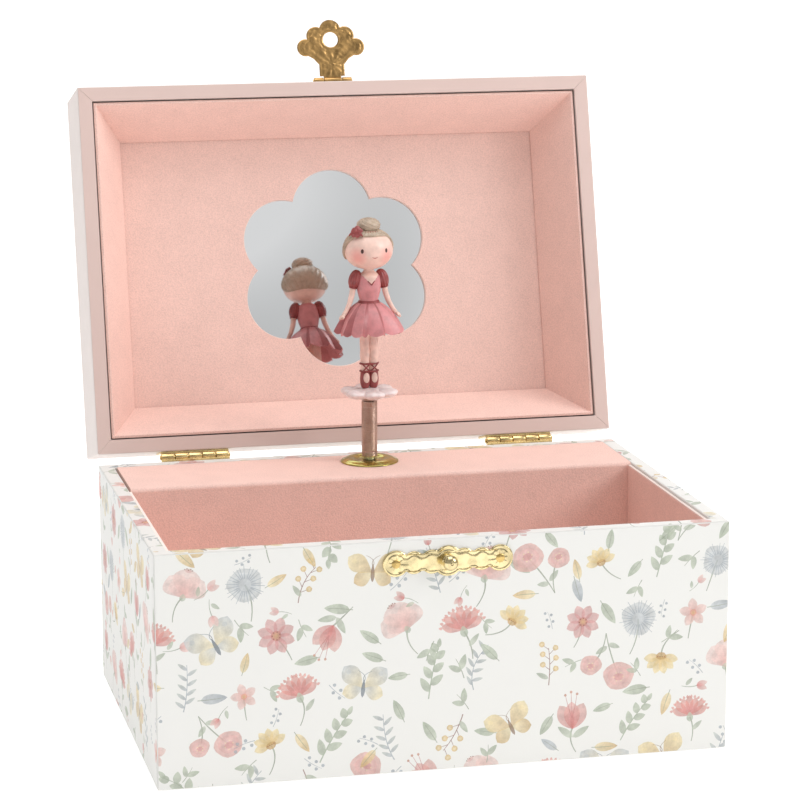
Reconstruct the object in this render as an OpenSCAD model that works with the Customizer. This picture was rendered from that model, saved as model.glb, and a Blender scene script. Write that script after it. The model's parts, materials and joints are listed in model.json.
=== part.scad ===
/* [Box] */
// Outside width of the box
box_w = 190; // [180:1:220]
// Outside depth of the box
box_d = 132; // [130:1:150]
// Height of the body
body_h = 77.3; // [76:0.1:90]
// Height of the lid
lid_h = 32.6; // [32:0.1:45]
// Thickness of the body's boards
wall = 5; // [4:0.5:5]
// Width of the lid's rim
lid_wall = 4.5; // [3.5:0.5:5]
// Thickness of the flocked lining
lining_t = 1.2; // [0.8:0.1:2]
// Angle that the open lid has turned through
open_angle = 105; // [90:1:110]

/* [Lid] */
// Depth of the panel that holds the mirror, below the rim
panel_depth = 22.5; // [20:0.5:24]
// Width of the sloping sides
slope_run = 11.5; // [8:0.5:14]
// Size across the flower-shaped window
flower_window = 73.5; // [60:0.5:80]

/* [Doll] */
// Distance of the doll's post from the back face
post_back = 16; // [15:0.5:18]
// Length of the bending spring
spring_len = 20; // [18:0.5:21]
// Outer radius of the spring
spring_r = 2.85; // [2.5:0.05:3]

/* [Music movement] */
// Height of the winding arbor above the floor
arbor_z = 47; // [44:0.5:47]
// Teeth on the barrel's wheel
barrel_teeth = 48; // [48]
// Number of notes on the comb
notes = 18; // [12:1:18]

/* [Hidden] */

$fn = 64;
eps = 0.01;
running = 0.05;        // radial clearance of a shaft that turns in its hole
gap = 0.3;             // least distance between pieces that move past each other

half_w = box_w / 2;
half_d = box_d / 2;
bottom_t = 4;
deck_t = 3;
deck_depth = 40;       // from the back face to the front of the deck
deck_y = half_d - deck_depth;
deck_left_gap = 0.9;
post_y = half_d - post_back;

// Lid, hinges and hasp, with the lid closed
lid_gap = 0.6;
lid_z = body_h + lid_gap;
lid_top_t = 4;
panel_t = 1.2;
mirror_t = 2;
slope_t = 1.2;
rim_gap = 0.4;
pin_y = half_d + 2.2;
pin_z = body_h + 1;
hinge_x = 60;
hinge_w = 24.6;
knuckle_r = 1.6;
knuckles = 5;
hinge_pin_r = 0.7;
leaf_t = 0.9;
leaf_h = 12;
hasp_y = -half_d - 1.3;
hasp_z = lid_z + 7.2;
hasp_knuckle_r = 1.2;
hasp_pin_r = 0.5;
hasp_leaf_t = 0.8;
hasp_hole = 15.2;      // from the hasp's pin to the middle of its hole
knob_z = hasp_z - hasp_hole;
knob_r = 2.5;
plate_t = 0.6;

// Spring post and doll
bush_top = body_h + 1.5;
spring_z = bush_top + 0.4;
fold_end = 2;          // length that stays straight at each end of the spring
spring_top = spring_z + spring_len;
spring_core_r = 2.0;
flower_z = spring_top + 1.9;
flower_t = 2.9;
flower_r = 10.3;
skirt_z = flower_z + 23.3;
waist_z = skirt_z + 10.6;
shoulder_z = waist_z + 10.4;
head_z = shoulder_z + 1;

// Movement: all wheels have trapezoid teeth of one of two modules
drive_module = 0.6;
train_module = 0.5;
tooth_root = 1.2;      // depth below the pitch circle, in modules
tooth_tip = 0.9;       // height above the pitch circle, in modules
spindle_teeth = barrel_teeth / 2;
cylinder_teeth = barrel_teeth / 3;
barrel_pitch = barrel_teeth * drive_module / 2;
spindle_pitch = spindle_teeth * drive_module / 2;
cylinder_pitch = cylinder_teeth * drive_module / 2;
wheel_teeth = 32;
pinion_teeth = 16;
wheel_pitch = wheel_teeth * train_module / 2;
pinion_pitch = pinion_teeth * train_module / 2;
spindle_root = spindle_pitch - tooth_root * drive_module;
cylinder_root = cylinder_pitch - tooth_root * drive_module;
wheel_t = 2;
gear_back = post_y - spindle_root - gap;    // rear face of the barrel's wheel
gear_y = gear_back - wheel_t;
crown_drop = tooth_root * drive_module - 0.1;    // how far a crossed wheel dips below the pitch circle
drum_len = 10.8;
drum_r = 11;
drum_wall = 0.8;
arbor_r = 2.5;
plate_y = half_d - wall - 2;
frame_t = 2;
cyl_y = gear_back + gap + cylinder_root;
cyl_x0 = -46;
cyl_x1 = -18;
cyl_r = 6.5;
cyl_arbor_r = 1.5;
pin_len = 0.5;
idler_z = arbor_z + wheel_pitch + pinion_pitch;
idler_r = 1.0;
ear_t = 1.5;
ear_x = cyl_x0 - 3;
outer_ear_x = -63;
worm_x = -57;
worm_r = 1.7;
worm_y = cyl_y - wheel_pitch - worm_r + 0.25;
comb_y = cyl_y - cyl_r - pin_len - 1.2;
comb_t = 0.7;

// ---------------------------------------------------------------- helpers

// Block between two opposite corners
module block(low, high) {
    translate(low) cube(high - low);
}

// Cylinder along Y, from y0 to y1
module rod_y(x, z, r, y0, y1) {
    translate([x, y0, z]) rotate([-90, 0, 0]) cylinder(r = r, h = y1 - y0);
}

// Cylinder along X, from x0 to x1
module rod_x(y, z, r, x0, x1) {
    translate([x0, y, z]) rotate([0, 90, 0]) cylinder(r = r, h = x1 - x0);
}

// Places what is drawn for the closed lid on the open lid
module lid_pose() {
    translate([0, pin_y, pin_z]) rotate([-open_angle, 0, 0])
        translate([0, -pin_y, -pin_z]) children();
}

// Four corners of a tooth, as radius and angle
function tooth(pitch_r, step, m) = [
    [pitch_r - tooth_root * m, -0.24 * step],
    [pitch_r + tooth_tip * m, -0.1 * step],
    [pitch_r + tooth_tip * m, 0.1 * step],
    [pitch_r - tooth_root * m, 0.24 * step]
];

// Toothed wheel: with no phase, one tooth points along +X
module toothed(teeth, m, phase = 0) {
    step = 360 / teeth;
    polygon([for (i = [0:teeth - 1], c = tooth(teeth * m / 2, step, m))
        let (a = i * step + phase * step + c[1]) c[0] * [cos(a), sin(a)]]);
}

// Wheel on an arbor along X
module wheel_x(teeth, m, phase, y, z, x0, x1, bore) {
    translate([x0, y, z]) rotate([0, 90, 0]) difference() {
        linear_extrude(x1 - x0) toothed(teeth, m, phase);
        translate([0, 0, -1]) cylinder(r = bore, h = x1 - x0 + 2);
    }
}

// ---------------------------------------------------------------- body

module body_front() {
    color("ivory") block([-half_w, -half_d, 0], [half_w, -half_d + wall, body_h]);
}

module body_back() {
    color("ivory") difference() {
        block([-half_w, half_d - wall, 0], [half_w, half_d, body_h]);
        rod_y(0, arbor_z, 4, half_d - wall - 1, half_d + 1);
        movement_screw_places() rod_y(0, 0, 1.5, half_d - wall - 1, half_d - 1.5);
    }
}

module side_board() {
    color("ivory") block([0, -half_d + wall, 0], [wall, half_d - wall, body_h]);
}

module body_left() {
    translate([-half_w, 0, 0]) side_board();
}

module body_right() {
    translate([half_w - wall, 0, 0]) side_board();
}

module body_bottom() {
    color("ivory") block([-half_w + wall, -half_d + wall, 0],
                         [half_w - wall, half_d - wall, bottom_t]);
}

// Floor and three sides, open at the top and towards the deck
module compartment_lining() {
    low = [-half_w + wall, -half_d + wall, bottom_t];
    high = [half_w - wall, deck_y, body_h - 0.8];
    color("lightpink") difference() {
        block(low, high);
        block(low + lining_t * [1, 1, 1], [high[0] - lining_t, deck_y + 1, body_h]);
    }
}

module deck_front() {
    color("lightpink") block([-half_w + wall, deck_y, bottom_t],
                             [half_w - wall, deck_y + deck_t, body_h - deck_t]);
}

module deck_top() {
    color("mistyrose") difference() {
        block([-half_w + wall + deck_left_gap, deck_y, body_h - deck_t],
              [half_w - wall, half_d - wall, body_h]);
        translate([0, post_y, 0]) cylinder(r = 5, h = body_h + 1);
    }
}

// Brass bush with a domed flange
module spindle_bush() {
    bore = spring_core_r + running;
    color("gold") translate([0, post_y, 0]) rotate_extrude() polygon([
        [bore, body_h - 10], [5, body_h - 10], [5, body_h], [10.4, body_h],
        [10.4, body_h + 0.5], [9.6, body_h + 1.1], [8.2, bush_top], [5.4, bush_top],
        [4.2, body_h + 1], [bore, body_h + 1]
    ]);
}

// ---------------------------------------------------------------- clasp

module clasp_outline() {
    square([34, 5.6], center = true);
    for (s = [-1, 1]) {
        translate([s * 5.2, 0]) circle(3.9);
        translate([s * 11.2, 0]) circle(3.7);
        translate([s * 17.2, 0]) circle(4.3);
    }
    circle(5);
}

module clasp_plate() {
    color("khaki") translate([0, -half_d, knob_z]) rotate([90, 0, 0]) difference() {
        linear_extrude(plate_t) clasp_outline();
        for (x = [-17.2, 0, 17.2]) translate([x, 0, -1]) cylinder(r = 0.8, h = 3);
    }
}

module clasp_knob() {
    stem_r = 1.4;
    color("khaki") translate([0, -half_d - plate_t, knob_z]) rotate([90, 0, 0]) {
        cylinder(r = stem_r, h = 2);
        translate([0, 0, 3]) sphere(r = knob_r);
    }
}

// Nails: the shank fills its hole in the plate, and the head lies on the plate
module nail(x, z) {
    translate([x, -half_d, z]) rotate([90, 0, 0]) {
        cylinder(r = 0.8, h = plate_t);
        translate([0, 0, plate_t]) cylinder(r1 = 1.5, r2 = 0.9, h = 0.25);
    }
}

module clasp_nails() {
    color("darkkhaki") for (x = [-17.2, 17.2]) nail(x, knob_z);
}

// ---------------------------------------------------------------- hinges

// First and last X of one knuckle, counted from 0
function knuckle_span(i) = [
    -hinge_w / 2 + i * hinge_w / knuckles + gap / 2,
    -hinge_w / 2 + (i + 1) * hinge_w / knuckles - gap / 2
];

// One leaf, drawn for an upright leaf above the pin
module leaf(own, others, bore) {
    difference() {
        union() {
            block([-hinge_w / 2, half_d - pin_y, 0.3],
                  [hinge_w / 2, half_d - pin_y + leaf_t, leaf_h]);
            for (i = own) let (s = knuckle_span(i)) {
                rod_x(0, 0, knuckle_r, s[0], s[1]);
                block([s[0], half_d - pin_y + 0.1, 0], [s[1], 0, knuckle_r - 0.3]);
            }
        }
        for (i = others) let (s = knuckle_span(i))
            rod_x(0, 0, knuckle_r + gap, s[0] - gap, s[1] + gap);
        rod_x(0, 0, bore, -hinge_w, hinge_w);
        for (x = [-8, 8]) rod_y(x, 7.5, 0.8, -5, 5);
    }
}

module hinge_places() {
    for (s = [-1, 1]) translate([s * hinge_x, pin_y, pin_z]) children();
}

module body_hinge_leaves() {
    color("goldenrod") hinge_places() mirror([0, 0, 1]) leaf([0, 2, 4], [1, 3], hinge_pin_r);
}

module lid_hinge_leaves() {
    color("goldenrod") lid_pose() hinge_places()
        leaf([1, 3], [0, 2, 4], hinge_pin_r + running);
}

module hinge_pins() {
    color("darkgoldenrod") hinge_places()
        rod_x(0, 0, hinge_pin_r, -hinge_w / 2 - 0.4, hinge_w / 2 + 0.4);
}

// Two nails a leaf: the shanks fill the leaf's holes
module leaf_nails() {
    for (x = [-8, 8]) {
        rod_y(x, 7.5, 0.8, half_d - pin_y, half_d - pin_y + leaf_t);
        rod_y(x, 7.5, 1.5, half_d - pin_y + leaf_t, half_d - pin_y + leaf_t + 0.5);
    }
}

module body_hinge_nails() {
    color("darkkhaki") hinge_places() mirror([0, 0, 1]) leaf_nails();
}

module lid_hinge_nails() {
    color("darkkhaki") lid_pose() hinge_places() leaf_nails();
}

// ---------------------------------------------------------------- lid

module lid_walls() {
    color("mistyrose") lid_pose() difference() {
        block([-half_w, -half_d, lid_z], [half_w, half_d, lid_z + lid_h - lid_top_t]);
        block([-half_w + lid_wall, -half_d + lid_wall, lid_z - 1],
              [half_w - lid_wall, half_d - lid_wall, lid_z + lid_h]);
    }
}

module lid_top() {
    color("mistyrose") lid_pose()
        block([-half_w, -half_d, lid_z + lid_h - lid_top_t], [half_w, half_d, lid_z + lid_h]);
}

// Pyramid stump whose sides follow the slopes, wider or narrower by grow
module slope_stump(grow, z0, z1) {
    wide = [half_w, half_d] - [1, 1] * (lid_wall + rim_gap);
    hull() for (z = [z0, z1]) {
        inset = slope_run * z / panel_depth - grow;
        translate([0, 0, lid_z + z])
            linear_extrude(eps) square(2 * (wide - [inset, inset]), center = true);
    }
}

module lid_lining() {
    color("lightpink") lid_pose() difference() {
        slope_stump(0, 1.2, panel_depth);
        slope_stump(-slope_t, -1, panel_depth + 1);
    }
}

// Six lobes round a middle
module flower(size) {
    lobe = size * 0.205;
    circle(size * 0.3);
    for (a = [30:60:330]) rotate(a + 60) translate([size / 2 - lobe, 0]) circle(lobe);
}

module lid_panel() {
    inset = lid_wall + rim_gap + slope_run - 0.4;
    color("lightpink") lid_pose() translate([0, 0, lid_z + panel_depth + 2 * eps])
        linear_extrude(panel_t) difference() {
            square(2 * [half_w - inset, half_d - inset], center = true);
            flower(flower_window);
        }
}

module mirror_glass() {
    side = flower_window + 8;
    color("silver") lid_pose() translate([0, 0, lid_z + panel_depth + panel_t + 3 * eps])
        linear_extrude(mirror_t) square(side, center = true);
}

// ---------------------------------------------------------------- hasp

module hasp_bracket() {
    width = 14;
    color("khaki") lid_pose() translate([0, hasp_y, hasp_z]) difference() {
        union() {
            block([-width / 2, -half_d - hasp_y - 0.7, 0.6], [width / 2, -half_d - hasp_y, 9]);
            for (s = [-1, 1]) translate([s * 5.3, 0, 0]) {
                rod_x(0, 0, hasp_knuckle_r, -1.7, 1.7);
                block([-1.7, 0, 0], [1.7, 1.2, 1]);
            }
        }
        rod_x(0, 0, hasp_knuckle_r + gap, -3.6, 3.6);
        rod_x(0, 0, hasp_pin_r, -width, width);
        for (x = [-4, 4]) rod_y(x, 5.5, 0.8, -5, 5);
    }
}

module hasp_pin() {
    color("darkgoldenrod") lid_pose() rod_x(hasp_y, hasp_z, hasp_pin_r, -7.3, 7.3);
}

module hasp_nails() {
    front = -half_d - 0.7;
    color("darkkhaki") lid_pose() for (x = [-4, 4]) {
        rod_y(x, hasp_z + 5.5, 0.8, front, -half_d);
        rod_y(x, hasp_z + 5.5, 1.5, front - 0.4, front);
    }
}

// Crown: a neck, two scalloped shoulders a side and a round top, from the pin outwards
module crown_outline() {
    half = [[4.7, 0], [4.7, 6], [6.6, 8.2], [9.4, 9.8], [10.8, 12.4], [6, 18], [2, 19]];
    polygon(concat(half, [for (i = [len(half) - 1:-1:0]) [-half[i][0], half[i][1]]]));
    translate([0, 18.6]) circle(4);
    for (s = [-1, 1]) {
        translate([s * 5.4, 16.6]) circle(3.5);
        translate([s * 9.4, 12.4]) circle(3.2);
    }
}

// The rest position stands out square from the lid's front
module hasp() {
    color("khaki") lid_pose() translate([0, hasp_y, hasp_z]) difference() {
        union() {
            rod_x(0, 0, hasp_knuckle_r, -3.3, 3.3);
            rotate([180, 0, 0]) translate([0, 0, -hasp_leaf_t / 2]) linear_extrude(hasp_leaf_t)
                difference() {
                    crown_outline();
                    for (s = [-1, 1]) translate([s * 5.2, 0]) square([3.8, 3.4], center = true);
                }
        }
        rod_x(0, 0, hasp_pin_r + running, -9, 9);
        translate([0, -hasp_hole, -2]) cylinder(r = 2.8, h = 4);
    }
}

// ---------------------------------------------------------------- movement, fixed pieces

screw_x = [-58, 14];
screw_z = [arbor_z - 24, arbor_z + 20];

module movement_screw_places() {
    for (x = screw_x, z = screw_z) translate([x, 0, z]) children();
}

// Upright plate on the back board, with ears for the arbors and a block for the comb
module movement_frame() {
    low = arbor_z - 29;
    high = arbor_z + 24;
    color("darkgray") difference() {
        union() {
            block([outer_ear_x, plate_y, low], [19, plate_y + frame_t, high]);
            block([cyl_x1 + 0.7, cyl_y - 4, arbor_z - 5], [cyl_x1 + 2.1, plate_y, arbor_z + 5]);
            block([ear_x, cyl_y - 5, arbor_z - 6], [ear_x + ear_t, plate_y, idler_z + 5]);
            block([outer_ear_x, worm_y - 2, arbor_z - 4], [outer_ear_x + ear_t, plate_y, high]);
            for (z = [arbor_z - 4, high - ear_t])
                block([outer_ear_x, worm_y - 2, z], [worm_x + 2, worm_y + 2, z + ear_t]);
            block([cyl_x0, comb_y + comb_t, low], [cyl_x1, plate_y, low + 8]);
        }
        rod_y(0, arbor_z, arbor_r + running, plate_y - 1, half_d);
        movement_screw_places() rod_y(0, 0, 1.5, plate_y - 1, half_d);
        rod_x(cyl_y, arbor_z, cyl_arbor_r + running, -56, 0);
        rod_x(cyl_y, idler_z, idler_r + running, -70, -40);
        translate([worm_x, worm_y, 0]) cylinder(r = 0.6 + running, h = 100);
        comb_screw_places() rod_y(0, 0, 1.2, comb_y, comb_y + 7);
    }
}

module movement_screws() {
    color("silver") movement_screw_places() {
        rod_y(0, 0, 1.5, plate_y, half_d - 1.5);
        rod_y(0, 0, 3, plate_y - 1.4, plate_y);
    }
}

module comb_screw_places() {
    for (x = [cyl_x0 + 7, cyl_x1 - 7]) translate([x, 0, arbor_z - 25]) children();
}

module comb() {
    low = arbor_z - 29;
    pitch = (cyl_x1 - cyl_x0) / notes;
    color("silver") difference() {
        union() {
            block([cyl_x0, comb_y - comb_t, low], [cyl_x1, comb_y + comb_t, low + 9]);
            for (i = [0:notes - 1]) {
                x = cyl_x0 + (i + 0.5) * pitch;
                root = low + 9 + 5 * i / notes;
                block([x - 0.38 * pitch, comb_y - comb_t / 2, low + 8],
                      [x + 0.38 * pitch, comb_y + comb_t / 2, arbor_z - 1]);
                block([x - 0.5 * pitch, comb_y - comb_t / 2, low + 8],
                      [x + 0.5 * pitch, comb_y + comb_t / 2, root]);
            }
        }
        comb_screw_places() rod_y(0, 0, 1.2, comb_y - 3, comb_y + 3);
    }
}

module comb_screws() {
    color("dimgray") comb_screw_places() {
        rod_y(0, 0, 1.2, comb_y - comb_t, comb_y + 7);
        rod_y(0, 0, 2.4, comb_y - comb_t - 1.2, comb_y - comb_t);
    }
}

// Arm that carries the front end of the winding arbor
module barrel_bridge() {
    front = gear_y - 4.5;
    foot = arbor_z - 22;
    color("gray") difference() {
        union() {
            block([-4, front, foot], [4, plate_y, foot + 2.5]);
            block([-4, front, foot], [4, front + 2, arbor_z]);
            rod_y(0, arbor_z, 4, front, front + 2);
        }
        rod_y(0, arbor_z, arbor_r + running, front - 1, front + 3);
    }
}

// Leaf spring whose bent tip lies just off the ratchet's teeth
module click_spring() {
    y0 = plate_y - 3.2;
    color("lightsteelblue") {
        block([8, y0, arbor_z - 10], [11, plate_y, arbor_z - 7]);
        block([8, y0, arbor_z - 10], [8.6, y0 + 1.5, arbor_z + 1]);
        block([7.1, y0, arbor_z + 0.2], [8.6, y0 + 1.5, arbor_z + 1]);
    }
}

module key_escutcheon() {
    color("khaki") difference() {
        rod_y(0, arbor_z, 8, half_d, half_d + 0.6);
        rod_y(0, arbor_z, 3.6, half_d - 1, half_d + 1);
    }
}

// ---------------------------------------------------------------- movement, turning pieces

module spindle() {
    foot = arbor_z + barrel_pitch - crown_drop;
    color("silver") translate([0, post_y, foot])
        cylinder(r = spring_core_r, h = spring_z + fold_end - gap - foot);
}

// Lies over the barrel's wheel, with a gap between two teeth above the wheel's top tooth
module spindle_gear() {
    color("gold") translate([0, post_y, arbor_z + barrel_pitch - crown_drop]) difference() {
        linear_extrude(wheel_t) toothed(spindle_teeth, drive_module, 0.5);
        translate([0, 0, -1]) cylinder(r = spring_core_r, h = wheel_t + 2);
    }
}

module barrel_gear() {
    color("gold") difference() {
        translate([0, gear_y, arbor_z]) rotate([-90, 0, 0])
            linear_extrude(wheel_t) toothed(barrel_teeth, drive_module);
        rod_y(0, arbor_z, arbor_r + running, gear_y - 1, gear_back + 1);
    }
}

module barrel_drum() {
    back = gear_back + drum_len;
    color("silver") difference() {
        rod_y(0, arbor_z, drum_r, gear_back, back);
        rod_y(0, arbor_z, drum_r - drum_wall, gear_back - 1, back - drum_wall);
        rod_y(0, arbor_z, arbor_r + running, gear_back, back + 1);
    }
}

// Flat spiral ribbon
module mainspring() {
    turns = 7;
    ribbon = 0.4;
    r0 = 3;
    r1 = drum_r - drum_wall - ribbon;
    steps = turns * 16;
    function ring(r, i) = (r + (r1 - r0) * i / steps) * [cos(i * 22.5), sin(i * 22.5)];
    color("lightsteelblue") translate([0, gear_back + 0.3, arbor_z]) rotate([-90, 0, 0])
        linear_extrude(drum_len - drum_wall - 0.6) polygon(concat(
            [for (i = [0:steps]) ring(r0 + ribbon, i)],
            [for (i = [steps:-1:0]) ring(r0, i)]));
}

module winding_arbor() {
    color("silver") rod_y(0, arbor_z, arbor_r, gear_y - 4.5, half_d + 6);
}

module ratchet_wheel() {
    teeth = 24;
    y0 = plate_y - 3.2;
    step = 360 / teeth;
    color("silver") translate([0, y0, arbor_z]) rotate([-90, 0, 0]) difference() {
        linear_extrude(1.5) polygon([for (i = [0:teeth - 1], c = [[6.6, 0.1], [5.8, 0.15]])
            c[0] * [cos((i + c[1]) * step), sin((i + c[1]) * step)]]);
        translate([0, 0, -1]) cylinder(r = arbor_r, h = 4);
    }
}

module key_outline() {
    difference() {
        union() {
            square([12, 6], center = true);
            for (s = [-1, 1]) translate([s * 7.5, 3.5]) circle(5.5);
        }
        for (s = [-1, 1]) translate([s * 7.5, 3.5]) circle(2.4);
    }
}

module winding_key() {
    y0 = half_d + 1;
    color("khaki") difference() {
        union() {
            rod_y(0, arbor_z, 3.4, y0, y0 + 9);
            translate([0, y0 + 9, arbor_z - 1.1]) linear_extrude(2.2) key_outline();
        }
        rod_y(0, arbor_z, arbor_r, y0 - 1, half_d + 6);
    }
}

// Pinned cylinder: three pins a note, at angles that differ from note to note
module cylinder_pin(i, k) {
    x = cyl_x0 + (i + 0.5) * (cyl_x1 - cyl_x0) / notes;
    translate([x, cyl_y, arbor_z]) rotate([73 * i + 131 * k + 20, 0, 0])
        cylinder(r = 0.25, h = cyl_r + pin_len, $fn = 6);
}

module note_cylinder() {
    color("gold") difference() {
        union() {
            rod_x(cyl_y, arbor_z, cyl_r, cyl_x0, cyl_x1);
            for (i = [0:notes - 1], k = [0:2]) cylinder_pin(i, k);
        }
        rod_x(cyl_y, arbor_z, cyl_arbor_r, cyl_x0 - 1, cyl_x1 + 1);
    }
}

// Arbor with the pinion that the barrel's wheel drives
module cylinder_arbor() {
    x1 = -barrel_pitch + crown_drop;
    color("silver") {
        rod_x(cyl_y, arbor_z, cyl_arbor_r, ear_x - 3, x1 + 0.4);
        translate([x1 - wheel_t, cyl_y, arbor_z]) rotate([0, 90, 0])
            linear_extrude(wheel_t) toothed(cylinder_teeth, drive_module, 0.5);
    }
}

module cylinder_wheel() {
    color("gold") wheel_x(wheel_teeth, train_module, 0, cyl_y, arbor_z,
                          ear_x - 2.5, ear_x - 1, cyl_arbor_r);
}

module idler() {
    color("gold") {
        rod_x(cyl_y, idler_z, idler_r, outer_ear_x, ear_x + ear_t);
        wheel_x(pinion_teeth, train_module, 0.5, cyl_y, idler_z, ear_x - 2.7, ear_x - 0.8, 0.9);
        wheel_x(wheel_teeth, train_module, 0, cyl_y, idler_z, worm_x - 0.4, worm_x + 0.4, 0.9);
    }
}

// Four-start worm, right-handed, with a gap between threads level with the idler
module governor_worm() {
    height = 9;
    lead = 4 * PI * train_module;
    color("silver") translate([worm_x, worm_y, 0]) {
        translate([0, 0, arbor_z - 4]) cylinder(r = 0.6, h = 28);
        translate([0, 0, idler_z - height / 2]) rotate(-180 * height / lead + 45)
            linear_extrude(height, twist = -360 * height / lead, slices = 24) {
                circle(worm_r - 0.9, $fn = 8);
                for (i = [0:3]) rotate(90 * i) translate([worm_r - 0.85, 0])
                    square([1.2, 0.26], center = true);
            }
    }
}

module governor_fan() {
    color("silver") translate([worm_x, worm_y, arbor_z - 1]) difference() {
        union() {
            cylinder(r = 1.2, h = 5);
            block([-3.6, -0.3, 0.4], [3.6, 0.3, 4.6]);
        }
        translate([0, 0, -1]) cylinder(r = 0.6, h = 7);
    }
}

// ---------------------------------------------------------------- spring post

// Close-wound coils between two heights, drawn as rings on a thin tube
module coils(z0, z1, bore) {
    pitch = 0.92;
    count = floor((z1 - z0) / pitch);
    wire = (z1 - z0) / count;
    color("tan") translate([0, post_y, z0]) difference() {
        union() {
            cylinder(r = spring_r - 0.25, h = z1 - z0);
            for (i = [0:count - 1]) translate([0, 0, (i + 0.5) * wire])
                cylinder(r = spring_r, h = 0.6 * wire, center = true);
        }
        translate([0, 0, -1]) cylinder(r = bore, h = z1 - z0 + 2);
    }
}

module spring_foot() {
    coils(spring_z, spring_z + fold_end - gap / 2, spring_core_r);
}

// The spring bends forward at both ends of its middle, about the front edge
module spring_middle() {
    coils(spring_z + fold_end + gap / 2, spring_top - fold_end - gap / 2, spring_core_r - 0.2);
}

module spring_head() {
    coils(spring_top - fold_end + gap / 2, spring_top, spring_core_r - 0.2);
}

// ---------------------------------------------------------------- doll

// Solid of revolution about the doll's own axis
module turned(points) {
    translate([0, post_y, 0]) rotate_extrude() polygon(points);
}

// Flower that the doll stands on, with the plug that turns in the spring's last coil
module flower_base() {
    color("lavenderblush") {
        translate([0, post_y, flower_z]) linear_extrude(flower_t) {
            circle(6);
            for (i = [0:5]) rotate(60 * i + 30) translate([flower_r - 4.2, 0]) circle(4.2);
        }
        turned([[0, spring_top - 1.5], [1.7, spring_top - 1.5], [1.7, spring_top + gap],
                [2.4, spring_top + 0.8], [3.2, flower_z], [0, flower_z]]);
    }
}

leg_top = waist_z - 5;

module doll_legs() {
    shoe_top = flower_z + flower_t + 6.5;
    color("peachpuff") for (s = [-1, 1]) translate([s * 1.75, post_y, flower_z + flower_t]) {
        cylinder(r1 = 1.2, r2 = 1.7, h = 2);
        translate([0, 0, 2]) cylinder(r1 = 1.7, r2 = 1.35, h = shoe_top - flower_z - flower_t - 2);
        translate([0, 0, shoe_top - flower_z - flower_t])
            cylinder(r1 = 1.35, r2 = 1.7, h = leg_top - shoe_top);
    }
}

module doll_skirt() {
    color("palevioletred") turned([[12.6, skirt_z - 0.4], [13.4, skirt_z], [13.2, skirt_z + 1.6],
        [7.4, waist_z - 4.4], [4.2, waist_z], [3.4, waist_z], [3.4, waist_z - 1],
        [4, leg_top - 1]]);
}

module doll_bodice() {
    color("palevioletred") {
        turned([[0, leg_top], [3.4, leg_top], [3.4, waist_z], [4.4, waist_z + 4],
            [4.9, shoulder_z - 1.6], [4.2, shoulder_z], [1.8, shoulder_z + 0.6],
            [1.6, head_z], [0, head_z]]);
        for (s = [-1, 1]) {
            translate([s * 6.2, post_y, shoulder_z - 1.6]) sphere(r = 2.8);
            translate([s * 6.9, post_y, shoulder_z - 2.6]) rotate([0, s * 168, 0])
                cylinder(r1 = 1.5, r2 = 1.15, h = 11.8);
        }
    }
}

// Half outline of the head, with its widest place below the middle
function head_point(a, grow) = [
    (9.2 + grow) * cos(a),
    head_z + 7 + (7 + grow) * sin(a)
];

module head_shape(grow) {
    turned([for (a = [-90:10:90]) [max(head_point(a, grow)[0], 0), head_point(a, grow)[1]]]);
}

module doll_head() {
    color("peachpuff") difference() {
        head_shape(0);
        translate([0, post_y, head_z - 1]) cylinder(r = 2.4, h = 1.6);
    }
}

// Cap over the crown and the back of the head, with a bun on top
module doll_hair() {
    color("rosybrown") difference() {
        union() {
            difference() {
                head_shape(0.6);
                translate([0, post_y, head_z + 10.5]) rotate([-38, 0, 0])
                    translate([-20, -40, -40]) cube([40, 80, 40]);
            }
            translate([0, post_y, head_z + 16.4]) sphere(r = 4);
        }
        head_shape(0);
    }
}

// Rosette beside the bun
module doll_bow() {
    color("brown") difference() {
        translate([-5.6, post_y - 2.6, head_z + 14]) rotate([70, 0, 0]) linear_extrude(1.6) {
            circle(1.4);
            for (i = [0:4]) rotate(72 * i) translate([1.4, 0]) circle(1);
        }
        head_shape(0.6);
        translate([0, post_y, head_z + 16.4]) sphere(r = 4);
    }
}

body_front();
body_back();
body_left();
body_right();
body_bottom();
compartment_lining();
deck_front();
deck_top();
spindle_bush();
clasp_plate();
clasp_knob();
clasp_nails();
body_hinge_leaves();
body_hinge_nails();
hinge_pins();
movement_frame();
movement_screws();
comb();
comb_screws();
barrel_bridge();
click_spring();
key_escutcheon();
spindle();
spindle_gear();
spring_foot();
barrel_drum();
barrel_gear();
mainspring();
winding_arbor();
ratchet_wheel();
winding_key();
note_cylinder();
cylinder_arbor();
cylinder_wheel();
idler();
governor_worm();
governor_fan();
lid_walls();
lid_top();
lid_lining();
lid_panel();
mirror_glass();
lid_hinge_leaves();
lid_hinge_nails();
hasp_bracket();
hasp_pin();
hasp_nails();
hasp();
spring_middle();
spring_head();
flower_base();
doll_legs();
doll_skirt();
doll_bodice();
doll_head();
doll_hair();
doll_bow();
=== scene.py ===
"""Looks of a ballerina jewellery box: printed paper, flocking, brass, a mirror and a painted doll."""
import json
import math
import random
from collections import namedtuple

import bmesh
import bpy
from mathutils import Matrix, Vector, geometry, noise


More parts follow.
